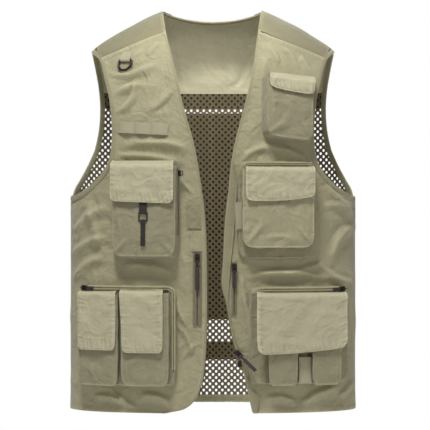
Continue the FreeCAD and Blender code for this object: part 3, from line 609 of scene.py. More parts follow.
def cloth_material(name, light, dark, crumple, twill=0.5):
    """Woven cloth: twill lines, slubs, soft crumples, patches of two tones and worn ridges."""
    material, tree, shader = new_material(name)
    yarn = 0.9
    place = object_place(tree)
    weave = weave_place(tree)
    slubs = noise(tree, weave, 0.55, 5.0, 0.7)
    tone = mix(tree, noise(tree, place, 21.0, 4.0, 0.55), linear(dark), linear(light))
    tone = mix(tree, 1.0, tone, spread(tree, slubs, 0.90, 1.08, 0.3, 0.7), "MULTIPLY")
    turned = node(tree, "ShaderNodeMapping", {"Vector": weave, "Rotation": (0, 0, 0.9)})
    lines = node(tree, "ShaderNodeTexWave", {
        "Vector": turned.outputs[0], "Scale": 0.31 / yarn, "Distortion": 1.2, "Detail": 2.0,
        "Detail Scale": 2.0}).outputs["Fac"]
    twilled = mix(tree, 1.0, tone, spread(tree, lines, 0.93, 1.04), "MULTIPLY")
    tone = mix(tree, twill, tone, twilled)
    tone = worn_edges(tree, tone, [min(c * 1.18, 255) for c in light], 0.5, 0.58, 0.5)
    tree.links.new(tone, shader.inputs["Base Color"])
    relief = bump(tree, noise(tree, place, 30.0, 3.0, 0.5, 1.3), crumple, 0.006)
    relief = bump(tree, noise(tree, place, 75.0, 5.0, 0.6, 0.4), crumple, 0.0026, relief)
    relief = bump(tree, slubs, 0.35, 0.0004, relief)
    relief = bump(tree, lines, 0.35, 0.0002, relief)
    tree.links.new(relief, shader.inputs["Normal"])
    tree.links.new(spread(tree, slubs, 0.74, 0.94), shader.inputs["Roughness"])
    shader.inputs["Sheen Weight"].default_value = 0.25
    shader.inputs["Sheen Roughness"].default_value = 0.5
    shader.inputs["Specular IOR Level"].default_value = 0.25
    return material


def hard_material(name, colour, rough, metal=0.0, grain=0.25):
    """Moulded plastic or painted metal, with a fine grain and scuffed edges."""
    material, tree, shader = new_material(name)
    spots = noise(tree, object_place(tree), 160.0, 6.0, 0.65)
    tone = mix(tree, spots, linear(colour), linear([c * 1.5 + 6 for c in colour]))
    tone = worn_edges(tree, tone, [c * 2.2 + 20 for c in colour], 0.52, 0.62, 0.4)
    tree.links.new(tone, shader.inputs["Base Color"])
    tree.links.new(spread(tree, spots, rough * 0.7, rough * 1.3), shader.inputs["Roughness"])
    tree.links.new(bump(tree, spots, grain, 0.0003), shader.inputs["Normal"])
    shader.inputs["Metallic"].default_value = metal
    return material


def ribbed_material(name, light, dark, pitch):
    """Tape or webbing: ribs across the cloth, with a darker gap between them."""
    material, tree, shader = new_material(name)
    ribs = node(tree, "ShaderNodeTexWave", {
        "Vector": weave_place(tree), "Scale": 0.314 / pitch, "Distortion": 0.4},
        bands_direction="Y").outputs["Fac"]
    slubs = noise(tree, object_place(tree), 500.0, 4.0)
    tone = mix(tree, ribs, linear(dark), linear(light))
    tone = mix(tree, 1.0, tone, spread(tree, slubs, 0.85, 1.12), "MULTIPLY")
    tree.links.new(tone, shader.inputs["Base Color"])
    relief = bump(tree, slubs, 0.3, 0.0003, bump(tree, ribs, 0.5, 0.0004))
    tree.links.new(relief, shader.inputs["Normal"])
    shader.inputs["Roughness"].default_value = 0.7
    shader.inputs["Sheen Weight"].default_value = 0.15
    return material


KHAKI = cloth_material("khaki_twill", (178, 172, 140), (163, 157, 126), crumple=0.8)
# lit copy of the khaki: the same cloth made lighter, as painted light on the flaps that face the
# light from above
LIT_KHAKI = cloth_material("lit_twill", (196, 190, 160), (184, 178, 148), crumple=0.7)
# shaded copy of the khaki: the same cloth made darker, as painted shade on pocket faces that hang
# below the flaps
SHADED_KHAKI = cloth_material("shaded_twill", (160, 154, 125), (147, 142, 114), crumple=0.8)
YOKE_KHAKI = cloth_material("yoke_twill", (148, 143, 114), (136, 131, 103), crumple=0.35)
# lightened cloth: painted light on the inside of the back yoke, which faces away from the lamps
LIT_LINING = cloth_material("lit_lining_cloth", (206, 200, 168), (192, 186, 155), crumple=0.5)
BINDING_CLOTH = cloth_material("binding_tape", (160, 154, 124), (147, 142, 113), crumple=0.25)
NET_YARN = cloth_material("net_yarn", (116, 105, 80), (98, 88, 66), crumple=0.2, twill=0.2)
THREAD = cloth_material("thread", (190, 183, 152), (170, 164, 134), crumple=0.1, twill=0.0)
WEBBING = ribbed_material("webbing_weave", (190, 182, 153), (164, 157, 129), 1.4)
BLACK_THREAD = ribbed_material("black_thread", (62, 56, 52), (40, 36, 34), 1.0)
BLACK_WEBBING = ribbed_material("black_webbing", (46, 41, 38), (24, 21, 20), 1.2)
ZIP_TAPE = ribbed_material("zip_tape_weave", (138, 130, 102), (116, 108, 83), 1.0)
# dark cloth in place of the shade inside the back pieces, seen through the net: painted shade
PAINTED_SHADE_CLOTH = cloth_material("painted_shade_cloth", (66, 57, 42), (52, 44, 32), crumple=0.4)
ZIP_COIL = hard_material("zip_coil_nylon", (66, 59, 46), 0.45)
METAL = hard_material("black_metal_paint", (38, 33, 32), 0.32, 0.7, 0.15)
PLASTIC = hard_material("black_moulding_plastic", (30, 26, 25), 0.42, 0.0, 0.3)
TOUCH = cloth_material("touch_fastener_pile", (150, 145, 118), (130, 126, 100), crumple=1.0)


# ---- shell of the vest ----

def settle(x, outline, height):
    """Where a row of the cloth meets an outline, found by small steps from x."""
    for _ in range(40):
        x = 0.5 * (x + outline(height(x)))
    return x


def even_points(points, count, side):
    """Points at even distances over the body along a dense outline of (x, z)."""
    points = np.array(points, float)
    placed = skin(points[:, 0], points[:, 1], side)
    reach = reach_along(placed)
    return at_reach(points, reach, np.linspace(0, 1, count) * reach[-1])


def body_rows(left, right, columns):
    """(x, z) rows that join two lists of points, evenly spaced round the body."""
    start = np.arcsin(np.clip(left[:, 0] / HALF_WIDTH, -1, 1))[:, None]
    end = np.arcsin(np.clip(right[:, 0] / HALF_WIDTH, -1, 1))[:, None]
    x = HALF_WIDTH * np.sin(start + (end - start) * np.linspace(0, 1, columns)[None, :])
    share = (x - x[:, :1]) / (x[:, -1:] - x[:, :1])
    return x, left[:, 1:] + (right[:, 1:] - left[:, 1:]) * share


RIGHT_FOLDS = [((-186, -168), (-120, -128), 9, 4.5, 8), ((-168, -182), (-132, -132), 8, 4.0, -8),
               ((-190, -112), (-96, -96), 10, 3.5, -8), ((-60, -130), (-110, -176), 10, 3.0, 6),
               ((-150, -232), (-40, -240), 11, 4.5, 8), ((-170, -252), (-60, -262), 7, 3.0, 5),
               ((-92, -60), (-112, -82), 6, 2.5, 0), ((-150, -92), (-118, -70), 6, 2.0, 0),
               ((-236, -380), (-182, -340), 12, 4.0, 6), ((-240, -420), (-180, -392), 10, 4.0, 8),
               ((-238, -466), (-190, -424), 12, 4.5, 8), ((-214, -330), (-186, -420), 11, 3.5, 0),
               ((-150, -440), (-70, -452), 12, 3.5, 6), ((-56, -296), (-28, -324), 6, 3.0, 3),
               ((-52, -418), (-38, -470), 6, 3.0, 3), ((-60, -500), (-36, -548), 7, 4.0, -4),
               ((-58, -540), (-34, -586), 6, 3.5, 4), ((-56, -600), (-24, -570), 6, 3.0, 4),
               ((-200, -664), (-150, -672), 8, 3.5, 4), ((-120, -660), (-70, -672), 9, 4.0, 5),
               ((-176, -652), (-130, -684), 9, 3.0, 0)]
LEFT_FOLDS = [((88, -62), (112, -98), 8, 3.5, 4), ((118, -66), (146, -108), 7, 3.0, 4),
              ((150, -80), (168, -112), 6, 3.0, 0), ((74, -236), (160, -262), 12, 3.0, 8),
              ((52, -256), (90, -238), 8, 2.5, 4), ((196, -300), (238, -340), 10, 3.5, -6),
              ((190, -336), (240, -352), 9, 3.0, 6), ((200, -430), (240, -370), 12, 4.5, 8),
              ((70, -446), (190, -434), 10, 4.5, -9), ((60, -458), (200, -462), 9, 4.0, 8),
              ((50, -480), (66, -560), 8, 4.0, 3), ((46, -448), (56, -520), 7, 3.5, 0),
              ((92, -664), (140, -672), 9, 3.5, 5), ((150, -676), (214, -650), 10, 4.0, 6),
              ((216, -666), (240, -640), 8, 3.0, 0), ((186, -440), (236, -470), 9, 3.5, -5)]


# where a zip or patch is sewn on, so that the cloth below lies flat: x0, x1, z top, z bottom
CALM = [(-40, -12, -325, -548), (28, 44, -430, -526), (-164, -74, -188, -222),
        (-62, -52, -272, -390)]


def calm(x, z):
    """0 where something is sewn flat on the front, 1 away from it."""
    share = np.ones_like(x)
    for x0, x1, z0, z1 in CALM:
        off = np.maximum(np.maximum(x0 - x, x - x1), np.maximum(z1 - z, z - z0))
        share = share * smooth(off / 9.0)
    return share


def front_folds(x, z, sign):
    """Height of the creases of one front, away from its edges."""
    total = cloud(x, z, 5 + sign, 95.0) * 0.9 + cloud(x, z, 9 + sign, 42.0) * 0.35
    for start, end, width, height, bow in (RIGHT_FOLDS if sign < 0 else LEFT_FOLDS):
        total = total + fold(x, z, start, end, width, height, bow)
    return total


def front_panel(sign, name, edge):
    """One front: hem, free edge and yoke seam are folded and stitched."""
    fine = 300
    rows = 250
    columns = 104

    def upwards(curve, z0):
        z = np.linspace(z0, YOKE_AT_NECK, fine)
        x = curve(z)
        keep = z < yoke_seam(x) + 1.0
        return list(zip(x[keep], z[keep]))

    free = [(x + 1.0, z) for x, z in upwards(edge, -LENGTH)]
    armpit = ARMPIT + 4.0
    side_seam = [(HALF_WIDTH, z) for z in np.linspace(-LENGTH, armpit, fine)[:-1]]
    outer = side_seam + upwards(arm_front, armpit)
    x, z = body_rows(even_points(free, rows, FRONT), even_points(outer, rows, FRONT), columns)
    x = sign * x
    base = skin(x, z, FRONT, CLOTH)
    away = away_from_edges(base)
    folds = 1.35 * front_folds(x, z, sign) * smooth(away / 24.0) * calm(x, z)
    form = Form()
    # the low edge is row 0, because the rows run from the hem to the yoke
    hems = {"bottom": 11.0, "top": 9.5, "left": 9.0}
    seam = edge_distance(base, "bottom")
    folds = folds - 1.0 * np.exp(-((seam - 10.0) / 1.8) ** 2) + 0.5 * smooth((9.0 - seam) / 2.0)
    points, normal = sewn_sheet(form, base, OUT_FRONT, CLOTH, hems, folds, 11 + sign, 0.8, 0.9)
    for edge_name, back in (("bottom", 2.2), ("left", 2.0), ("right", 7.0)):
        line, up = inset_line(points, normal, edge_name, back, 4.0)
        form.stitches(line, up)
    piece = finish_piece(name, form, [KHAKI, THREAD], "vest", [name])


def shoulder_yoke(sign, name, edge):
    """The padded yoke, from its front seam over the ridge to its rear seam."""
    columns = 56
    shares = np.concatenate([np.linspace(-1, 0, 46), np.linspace(0, 1, 8)[1:]])
    rows = []
    for share in shares:
        side = FRONT if share <= 0 else BACK
        t = abs(share)

        def height(x):
            seam = ridge(x) - yoke_seam(x) if side == FRONT else BACK_SEAM_DROP
            return ridge(x) - drop_after(travel(seam, side) * t, side)

        if side == FRONT:
            x0 = settle(NECK_HALF, edge, height)
            x1 = settle(200.0, arm_front, height) + (1.0 - t) * 9.0
        else:
            x0 = NECK_HALF * math.sqrt(1.0 - (ridge(NECK_HALF) - height(NECK_HALF)) / NECK_DROP)
            x1 = settle(200.0, arm_back, height)
        x = x0 + (x1 - x0) * np.linspace(0, 1, columns)
        z = height(x)
        u = (x - x0) / (x1 - x0)
        puff = 1.6 * np.sin(math.pi * u) ** 0.4 * (1 - 0.6 * t ** 6)
        puff = puff + 0.5 * cloud(x, z, 31 + sign, 46.0) * np.sin(math.pi * u)
        if sign < 0:
            puff = puff - 1.8 * np.exp(-((x - 148) / 18) ** 2 - ((z + 90) / 22) ** 2)
        rows.append(skin(sign * x, z, side, 3.4 + puff))
    form = Form()
    base = np.array(rows)
    hems = {"left": 7.0, "right": 3.0}
    ends = 2.2 * np.exp(-(edge_distance(base, "top") / 2.2) ** 2)
    sewn_sheet(form, base, (0, -0.6, 0.8), 3.2, hems, -ends, 41 + sign, 0.25, 0.3)
    piece = finish_piece(name, form, [YOKE_KHAKI, THREAD], "vest", [name])


def back_yoke():
    """Solid cloth across the shoulder blades."""
    rows = []
    for share in np.linspace(0, 1, 60):

        def height(x):
            neck = travel(back_neck_drop(x), BACK) + BINDING - 2.0
            seam = travel(BACK_SEAM_DROP - 0.5, BACK)
            inside = np.clip((NECK_HALF + 6.0 - np.abs(x)) / 12.0, 0.0, 1.0)
            top = np.maximum(neck * inside, seam)
            low = travel(ridge(x) - BACK_YOKE_END, BACK)
            return ridge(x) - drop_after(low + (top - low) * share, BACK)

        x1 = settle(200.0, arm_back, height)
        x = HALF_WIDTH * np.sin(np.linspace(-1, 1, 150) * math.asin(x1 / HALF_WIDTH))
        rows.append(skin(x, height(x), BACK, CLOTH))
    base = np.array(rows)
    x, z = base[..., 0], base[..., 2]
    away = away_from_edges(base)
    soft = 1.6 * cloud(x, z, 51, 80.0) + 0.5 * cloud(x, z, 52, 34.0)
    soft = soft + fold(x, z, (60, -80), (30, -130), 9, 2.5, 6)
    soft = soft + fold(x, z, (-70, -60), (-60, -120), 10, 2)
    form = Form()
    sewn_sheet(form, base, OUT_BACK, CLOTH, {"top": 7.0}, soft * smooth(away / 22), 53, 0.4, -0.9)
    # the back yoke takes the lightened cloth of painted light
    piece = finish_piece("back_yoke", form, [LIT_LINING, THREAD], "vest", ["back_yoke"])


def back_arc():
    """Distance round the back at each x, as two matching lists."""
    x = HALF_WIDTH * np.sin(np.linspace(-1, 1, 801) * math.pi / 2)
    points = skin(x, np.full_like(x, -400.0), BACK)
    reach = reach_along(points)
    return x, reach - reach[-1] / 2


def back_net():
    """Knitted net with real round holes in a diamond lattice, in two halves of one cloth."""
    places, reach = back_arc()
    pitch = 5.6
    hole = 2.5
    least_face = 0.05
    corner_steps = [(pitch, 0), (pitch / 2, pitch / 2), (0, pitch), (-pitch / 2, pitch / 2),
                    (-pitch, 0), (-pitch / 2, -pitch / 2), (0, -pitch), (pitch / 2, -pitch / 2)]
    low = NET_END - 6.0
    high = BACK_YOKE_END + 5.0
    for name, half in (("back_net_right", -1), ("back_net_left", 1)):
        columns = int(reach[-1] / pitch) + 1
        rows = int((high - low) / pitch) + 1
        cells = [(i * pitch, low + j * pitch) for j in range(rows) for i in range(columns)
                 if (i + j) % 2 == 0 and (i > 0 or half > 0)]
        cells = np.array(cells) * np.array([half, 1])
        edge_x = np.interp(arm_back(cells[:, 1]) - 1.0, places, reach)
        edge_x = np.where(cells[:, 1] < ARMPIT, reach[-1], edge_x)
        cells = cells[np.abs(cells[:, 0]) < edge_x + 3.0]
        corners = np.array(corner_steps)
        outer = cells[:, None, :] + corners[None]
        angle = np.arange(8) * math.pi / 4
        ring = np.stack([np.cos(angle), np.sin(angle)], -1)
        inner = cells[:, None, :] + ring[None] * np.array([hole * 0.94, hole * 1.06])
        flat = np.concatenate([outer, inner], 1).reshape(-1, 2)
        index = (np.arange(len(cells)) * 16)[:, None]
        k = np.arange(8)
        after = (k + 1) % 8
        quads = np.stack([index + k, index + after, index + 8 + after, index + 8 + k], -1)
        quads = quads.reshape(-1, 4)
        key = np.round(flat / (pitch / 8)).astype(int)
        outer_mask = np.tile(np.arange(16) < 8, len(cells))
        key[~outer_mask] = np.stack([np.arange((~outer_mask).sum()) + 10 ** 6,
                                     np.zeros((~outer_mask).sum(), int)], -1)
        _, first, back = np.unique(key, axis=0, return_index=True, return_inverse=True)
        back = back.reshape(-1)
        quads = back[quads]
        flat = flat[first]
        limit = np.interp(np.where(flat[:, 1] < ARMPIT + 3, HALF_WIDTH, arm_back(flat[:, 1])),
                          places, reach)
        s = np.clip(flat[:, 0], -limit, limit)
        z = np.clip(flat[:, 1], NET_END, BACK_YOKE_END)
        x = np.interp(s, reach, places)
        lift = 0.25 * np.cos(flat[:, 0] * math.pi / pitch) * np.cos(flat[:, 1] * math.pi / pitch)
        soft = 0.4 * cloud(x, z, 61, 120.0) * smooth((limit - np.abs(s)) / 30)
        points = skin(x, z, BACK, 1.4 + lift + soft)
        inside = skin(x, z, BACK, 0.5 + lift + soft)
        quads = quads[np.linalg.norm(face_normals(points, quads), axis=1) > least_face]
        if face_normals(points, quads)[:, 1].sum() < 0:
            quads = quads[:, ::-1]
        form = Form()
        form.add(np.concatenate([points, inside]), [layer_faces(quads, len(points))], 0,
                 np.concatenate([flat, flat]))
        piece = finish_piece(name, form, [NET_YARN], "vest", ["back_mesh"], 60)


def band_on_back(name, z_top, z_bottom, half, height, thick, stands_for, material,
                 hems, relief=1.0, seed=71, inner=PAINTED_SHADE_CLOTH):
    """A hemmed piece of cloth on the outside of the net; its faces that look inwards take the
    inner material, by default a dark cloth of painted shade.
    """
    rows = max(int((z_top - z_bottom) / 3), 10)
    z = np.linspace(z_bottom, z_top, rows)[:, None]
    turn = np.linspace(-1, 1, 170)[None, :] * math.asin(min(half / HALF_WIDTH, 1.0))
    x = HALF_WIDTH * np.sin(turn) + 0 * z
    z = z + 0 * x
    base = skin(x, z, BACK, height)
    away = away_from_edges(base)
    soft = 0.6 * (1.8 + cloud(x, z, seed, 90.0) + 0.4 * cloud(x, z, seed + 1, 36.0)) * relief
    form = Form()
    sewn_sheet(form, base, OUT_BACK, thick, hems, soft * smooth(away / 20), seed, 0.4)
    piece = finish_piece(name, form, [material, THREAD, inner], "vest", stands_for)
    # faces that look inwards take the inner material: for the back pocket, waist band and cape a
    # dark cloth of painted shade
    for face in piece.data.polygons:
        if face.normal.y < -0.3 and face.material_index == 0:
            face.material_index = 2


def tape_section():
    """Places sideways and outwards round a folded tape's section, each from -1 to 1."""
    angle = np.linspace(0, 2 * math.pi, 14, endpoint=False)
    squareness = 0.55
    return [np.sign(v) * np.abs(v) ** squareness for v in (np.cos(angle), np.sin(angle))]


def bound_edge(form, x, z, side, inside, low=-0.8, high=2.8, sign=1):
    """A folded tape round an edge: x, z run along it and inside is its width."""
    aside = sideways(np.stack([x, z], -1)) * sign
    across, height = tape_section()
    offset = inside / 2 + across * inside / 2
    level = (low + high) / 2 + height * (high - low) / 2
    along = np.concatenate([[0], np.cumsum(np.hypot(np.diff(x), np.diff(z)))])
    ripple = 1 + 0.10 * waves(along, 83, (6, 9, 15))
    px = x[:, None] + aside[:, :1] * offset[None]
    pz = z[:, None] + aside[:, 1:] * offset[None]
    form.tube(skin(px, pz, side, level[None] * ripple[:, None]))
    for back in (1.6, inside - 1.5):
        lx, lz = x + aside[:, 0] * back, z + aside[:, 1] * back
        line = skin(lx, lz, side, high - 0.25)
        form.stitches(line, line - skin(lx, lz, side, 0.0))


def armhole_binding(sign, name):
    """The folded tape round one armhole, front and back."""
    form = Form()
    for outline, side in (([(211, -71)] + FRONT_ARMHOLE[1:], FRONT), (BACK_ARMHOLE, BACK)):
        curve = curve_of(outline)
        z = np.linspace(outline[0][1], outline[-1][1], 500)
        places = even_points(list(zip(curve(z), z)), 150, side)
        bound_edge(form, sign * places[:, 0], places[:, 1], side, BINDING, sign=-sign)
    piece = finish_piece(name, form, [BINDING_CLOTH, THREAD], "vest", [name])


def edge_binding(sign, name, edge):
    """The narrow folded tape along a front's free edge."""
    z = np.linspace(YOKE_AT_NECK + 3, -LENGTH + 2, 700)
    places = even_points(list(zip(edge(z), z)), 260, FRONT)
    form = Form()
    bound_edge(form, sign * places[:, 0], places[:, 1], FRONT, 4.2, low=0.2, high=3.3, sign=sign)
    piece = finish_piece(name, form, [BINDING_CLOTH, THREAD], "vest")


def neck_binding():
    """The folded tape along the back of the neck opening."""
    x = NECK_HALF * 0.98 * np.sin(np.linspace(-1, 1, 90) * math.pi / 2)
    start = travel(back_neck_drop(x), BACK)
    form = Form()
    across, height = tape_section()
    offset = (across + 1) * BINDING / 2
    level = 1.0 + 1.8 * height
    px = x[:, None] + 0 * offset[None]
    pz = ridge(px) - drop_after(start[:, None] + offset[None], BACK)
    form.tube(skin(px, pz, BACK, level[None] + 0 * px))
    for high in (2.7, -0.75):
        lz = ridge(x) - drop_after(start + BINDING - 1.6, BACK)
        line = skin(x, lz, BACK, high)
        form.stitches(line, line - skin(x, lz, BACK, 0.9))
    piece = finish_piece("neck_binding", form, [BINDING_CLOTH, THREAD], "vest",
                         ["neck_binding"])


def left_placket():
    """The folded band over the left front's edge."""
    z = np.linspace(-264, -LENGTH, 220)
    x0 = left_edge(z) + 1.0
    x1 = np.maximum(left_fold(z), x0 + 2.5)
    u = np.linspace(0, 1, 20)[None, :]
    x = x0[:, None] + (x1 - x0)[:, None] * u
    zz = z[:, None] + 0 * x
    roll = 1.0 * np.sin(math.pi * u) + 2.2 * np.exp(-((u - 1.0) / 0.16) ** 2)
    ripple = 0.8 * waves(z, 91, (60, 34, 90))[:, None] * u
    base = skin(x, zz, FRONT, ON_CLOTH + 1.5 + roll + ripple)
    form = Form()
    sewn_sheet(form, base, OUT_FRONT, 1.4, {"right": 3.0}, None, 92, 0.35, 0.3)
    piece = finish_piece("left_placket", form, [BINDING_CLOTH, THREAD], "vest",
                         ["left_placket"])


front_panel(-1, "front_panel_right", right_edge)
front_panel(1, "front_panel_left", left_edge)
shoulder_yoke(-1, "shoulder_yoke_right", right_edge)
shoulder_yoke(1, "shoulder_yoke_left", left_edge)
back_yoke()
back_net()
band_on_back("back_pocket", -170, -542, 165.0, 9.6, 6.0, ["back_pocket"], KHAKI,
             {"left": 8.0, "right": 8.0, "top": 12.0, "bottom": 8.0})
band_on_back("back_waist_band", -582, -614, 238.0, 4.8, 2.0, ["back_waist_band"],
             KHAKI, {"top": 4.0, "bottom": 4.0}, 0.3, 75)
band_on_back("back_hem", NET_END + 2, -LENGTH, HALF_WIDTH - 0.3, 2.6, 3.2,
             ["back_hem"], KHAKI, {"top": 2.4, "bottom": 2.4}, 0.2, 77, KHAKI)
band_on_back("back_cape", BACK_YOKE_END + 3, -163, 196.0, 4.8, 1.5, [], KHAKI,
             {"bottom": 6.0}, 0.8, 79)
neck_binding()
edge_binding(-1, "front_edge_binding_right", right_edge)
edge_binding(1, "front_edge_binding_left", left_edge)
armhole_binding(-1, "armhole_binding_right")
armhole_binding(1, "armhole_binding_left")
left_placket()


# ---- pockets and flaps ----

def box_corners(x0, x1, z0, z1):
    return [(x0, z0), (x1, z0), (x1, z1), (x0, z1)]


CHEST_FACE = box_corners(-170, -64, -271, -423)
CHEST_BASE = box_corners(-170.5, -55.6, -270, -428)
CHEST_FLAP = [(-173, -269), (-66, -269), (-66, -334), (-173, -330)]
OUTER_FACE = box_corners(-230, -161, -487, -642)
OUTER_FLAP = box_corners(-228, -163, -486, -582)
INNER_FACE = box_corners(-155, -75, -485, -642)
INNER_FLAP = [(-157.5, -484), (-84, -484), (-84, -586), (-152, -586)]
SMALL_FACE = [(95, -121), (170, -127), (169, -227), (92, -218)]
SMALL_BASE = [(82, -121), (170, -127), (170, -230), (82, -222)]
SMALL_FLAP = [(96, -118), (173, -125), (171, -149), (97, -136)]
MID_FACE = box_corners(51, 171, -276, -408)
MID_FLAP = [(55, -275), (172, -275), (172, -322), (55, -329)]
LEFT_CELLS = [box_corners(95, 143, -490, -641), box_corners(169, 218, -490, -641)]
LEFT_FLAP = [(73, -488), (227, -488), (227, -578), (73, -588)]


def unit(vector):
    return vector / np.linalg.norm(vector)


def pocket_plane(x0, x1, z0, z1, depth):
    """Flat plane of a pocket's face: origin, across, up and out."""
    x = (x0 + x1) / 2
    z = (z0 + z1) / 2
    across = skin(x1, z, FRONT) - skin(x0, z, FRONT)
    across[2] = 0
    across = unit(across)
    up = skin(x, z0, FRONT) - skin(x, z1, FRONT)
    up = unit(up - across * (up @ across))
    out = np.cross(across, up)
    return skin(x, z, FRONT) + out * depth, across, up, out


def on_plane(plane, x, z, height=0.0):
    """The point of the plane seen at (x, z), raised by height."""
    origin, across, up, out = plane
    rise = (z - origin[2]) / up[2]
    run = (x - origin[0] - up[0] * rise) / across[0]
    height = np.asarray(height, float)
    return (origin + across * np.asarray(run)[..., None] + up * np.asarray(rise)[..., None]
            + out * height[..., None])


CHEST_PLANE = pocket_plane(-172, -60, -263, -423, 24)
OUTER_PLANE = pocket_plane(-218, -158, -487, -642, 30)
INNER_PLANE = pocket_plane(-155, -75, -485, -642, 29)
SMALL_PLANE = pocket_plane(84, 172, -122, -225, 20)
MID_PLANE = pocket_plane(48, 170, -276, -408, 27)
LEFT_PLANE = pocket_plane(73, 215, -488, -640, 29)


def in_corners(corners, s, t):
    """(x, z) inside four corners; s runs from -1 to 1 across and t from -1 down to 1."""
    u = (s + 1) / 2
    v = (t + 1) / 2
    (x0, z0), (x1, z1), (x2, z2), (x3, z3) = corners
    x = (x0 * (1 - u) + x1 * u) * (1 - v) + (x3 * (1 - u) + x2 * u) * v
    z = (z0 * (1 - u) + z1 * u) * (1 - v) + (z3 * (1 - u) + z2 * u) * v
    return x, z


WALL_SHARE = 0.16
WALL_STEPS = 8
SEAM_INSET = 3.4


def pocket_places(face_steps, roundness, square_top):
    """Places in a pocket's net: direction in the face's square, and how far down the wall."""
    wall = 1 + WALL_SHARE * np.linspace(0, 1, WALL_STEPS + 1)[1:]
    line = np.concatenate([-wall[::-1], np.linspace(-1, 1, face_steps), wall])
    t, s = np.meshgrid(line, line, indexing="ij")
    far = np.maximum(np.abs(s), np.abs(t))
    down = np.maximum(far - 1, 0) / WALL_SHARE
    s = s / np.maximum(far, 1)
    t = t / np.maximum(far, 1)
    size = np.maximum(np.abs(s), np.abs(t))
    round_size = (np.abs(s) ** roundness + np.abs(t) ** roundness) ** (1 / roundness)
    factor = np.where(size > 1e-6, size / np.maximum(round_size, 1e-6), 1.0)
    if square_top:
        factor = np.where(t < 0, 1.0, factor)
    return s * factor, t * factor, down, line


def face_relief(s, t, x, z, crown, seed, width_mm, height_mm):
    """Crown, seam ridge, groove and puckers of a pocket's face; s, t from -1 to 1."""
    away = np.minimum((1 - np.abs(s)) * width_mm / 2, (1 - np.abs(t)) * height_mm / 2)
    dome = (1 - np.abs(s) ** 2.6) ** 0.8 * (1 - np.abs(t) ** 2.6) ** 0.8
    relief = crown * dome + 0.8 * np.exp(-(away / 1.3) ** 2)
    relief = relief - 0.6 * np.exp(-((away - SEAM_INSET) / 1.3) ** 2)
    along = np.where(np.abs(s) * width_mm > np.abs(t) * height_mm, z, x)
    beside_seam = np.exp(-np.abs(away - SEAM_INSET) / 6)
    relief = relief + 0.55 * waves(along, seed, (7, 10, 16)) * beside_seam
    soft = 1.1 * cloud(x, z, seed + 1, 48) + 0.45 * cloud(x, z, seed + 2, 22)
    return relief + soft * smooth(away / 10)


def pocket(name, face, base, place_face, place_base, crown, seed, stands_for=None, fill=0.5,
           open_top=True, roundness=9.0, face_steps=64, extra=None, flap_end=0.0, sag=1.4,
           cloth=SHADED_KHAKI):
    """A sewn pocket: face, side walls and bottom, or a closed one with a top wall too."""
    s, t, down, line = pocket_places(face_steps, roundness, open_top)
    face_x, face_z = in_corners(face, s, t)
    base_x, base_z = in_corners(base, s, t)
    wide = abs(face[1][0] - face[0][0])
    tall = abs(face[3][1] - face[0][1])
    relief = face_relief(s, t, face_x, face_z, crown, seed, wide, tall)
    if extra is not None:
        relief = relief + extra(face_x, face_z)
    covered = smooth((face_z - flap_end) / 8.0 + 1.0) if flap_end else 0.0
    relief = relief * (1 - covered) + np.minimum(relief * 0.4, 1.0) * covered
    relief = np.where(down > 0, 0.8 * (1 - down), relief)
    high = place_face(face_x, face_z, relief)
    low = place_base(base_x, base_z)
    share = down[..., None]
    points = high * (1 - share) + low * share
    aside = points - points[len(line) // 2, len(line) // 2]
    aside[..., 1] *= 0.2
    aside /= np.maximum(np.linalg.norm(aside, axis=-1, keepdims=True), 1e-6)
    along = np.where(np.abs(s) > np.abs(t), base_z, base_x)
    bulge = sag * (1 + 0.65 * waves(along, seed + 5, (26, 41, 60)))
    points = points + aside * (np.sin(math.pi * share) * bulge[..., None])
    keep = None
    if open_top:
        middle = 0.5 * (line[1:] + line[:-1])
        tt, ss = np.meshgrid(middle, middle, indexing="ij")
        keep = ~((tt < -1) & (np.abs(ss) < -tt + 1e-6)).reshape(-1)
    form = Form()
    normal = form.sheet(points, 1.3, OUT_FRONT, 0, keep)
    face_only = slice(WALL_STEPS, -WALL_STEPS)
    inner = points[face_only, face_only]
    raised = normal[face_only, face_only]
    for edge in ("left", "right", "bottom") if open_top else ("left", "right", "bottom", "top"):
        stitched, up = inset_line(inner, raised, edge, SEAM_INSET, 3.0)
        form.stitches(stitched, up)
    # the pocket's cloth is by default the khaki darkened as painted shade
    piece = finish_piece(name, form, [cloth, THREAD], "vest",
                         [stands_for or name])


def flat_pocket(name, plane, face, base, low, lean, **others):
    """A pocket whose face lies in a flat plane and whose walls stand on the cloth below."""

    def place_face(x, z, height):
        return on_plane(plane, x, z, height)

    def place_base(x, z):
        return skin(x if lean == 1.0 else foot(x, z, low, lean), z, FRONT, low, lean)

    pocket(name, face, base, place_face, place_base, **others)


def curved_pocket(name, corners, height, **others):
    """A closed pocket that follows the body."""

    def place_face(x, z, raised):
        return skin(foot(x, z, height), z, FRONT, height + raised, POCKET_FLAT)

    def place_base(x, z):
        return skin(foot(x, z, height), z, FRONT, 0.6)

    (x0, z0), (x1, z1) = corners[0], corners[2]
    inner = box_corners(x0 + 3, x1 - 3, z0 - 3, z1 + 3)
    pocket(name, inner, corners, place_face, place_base, open_top=False, **others)


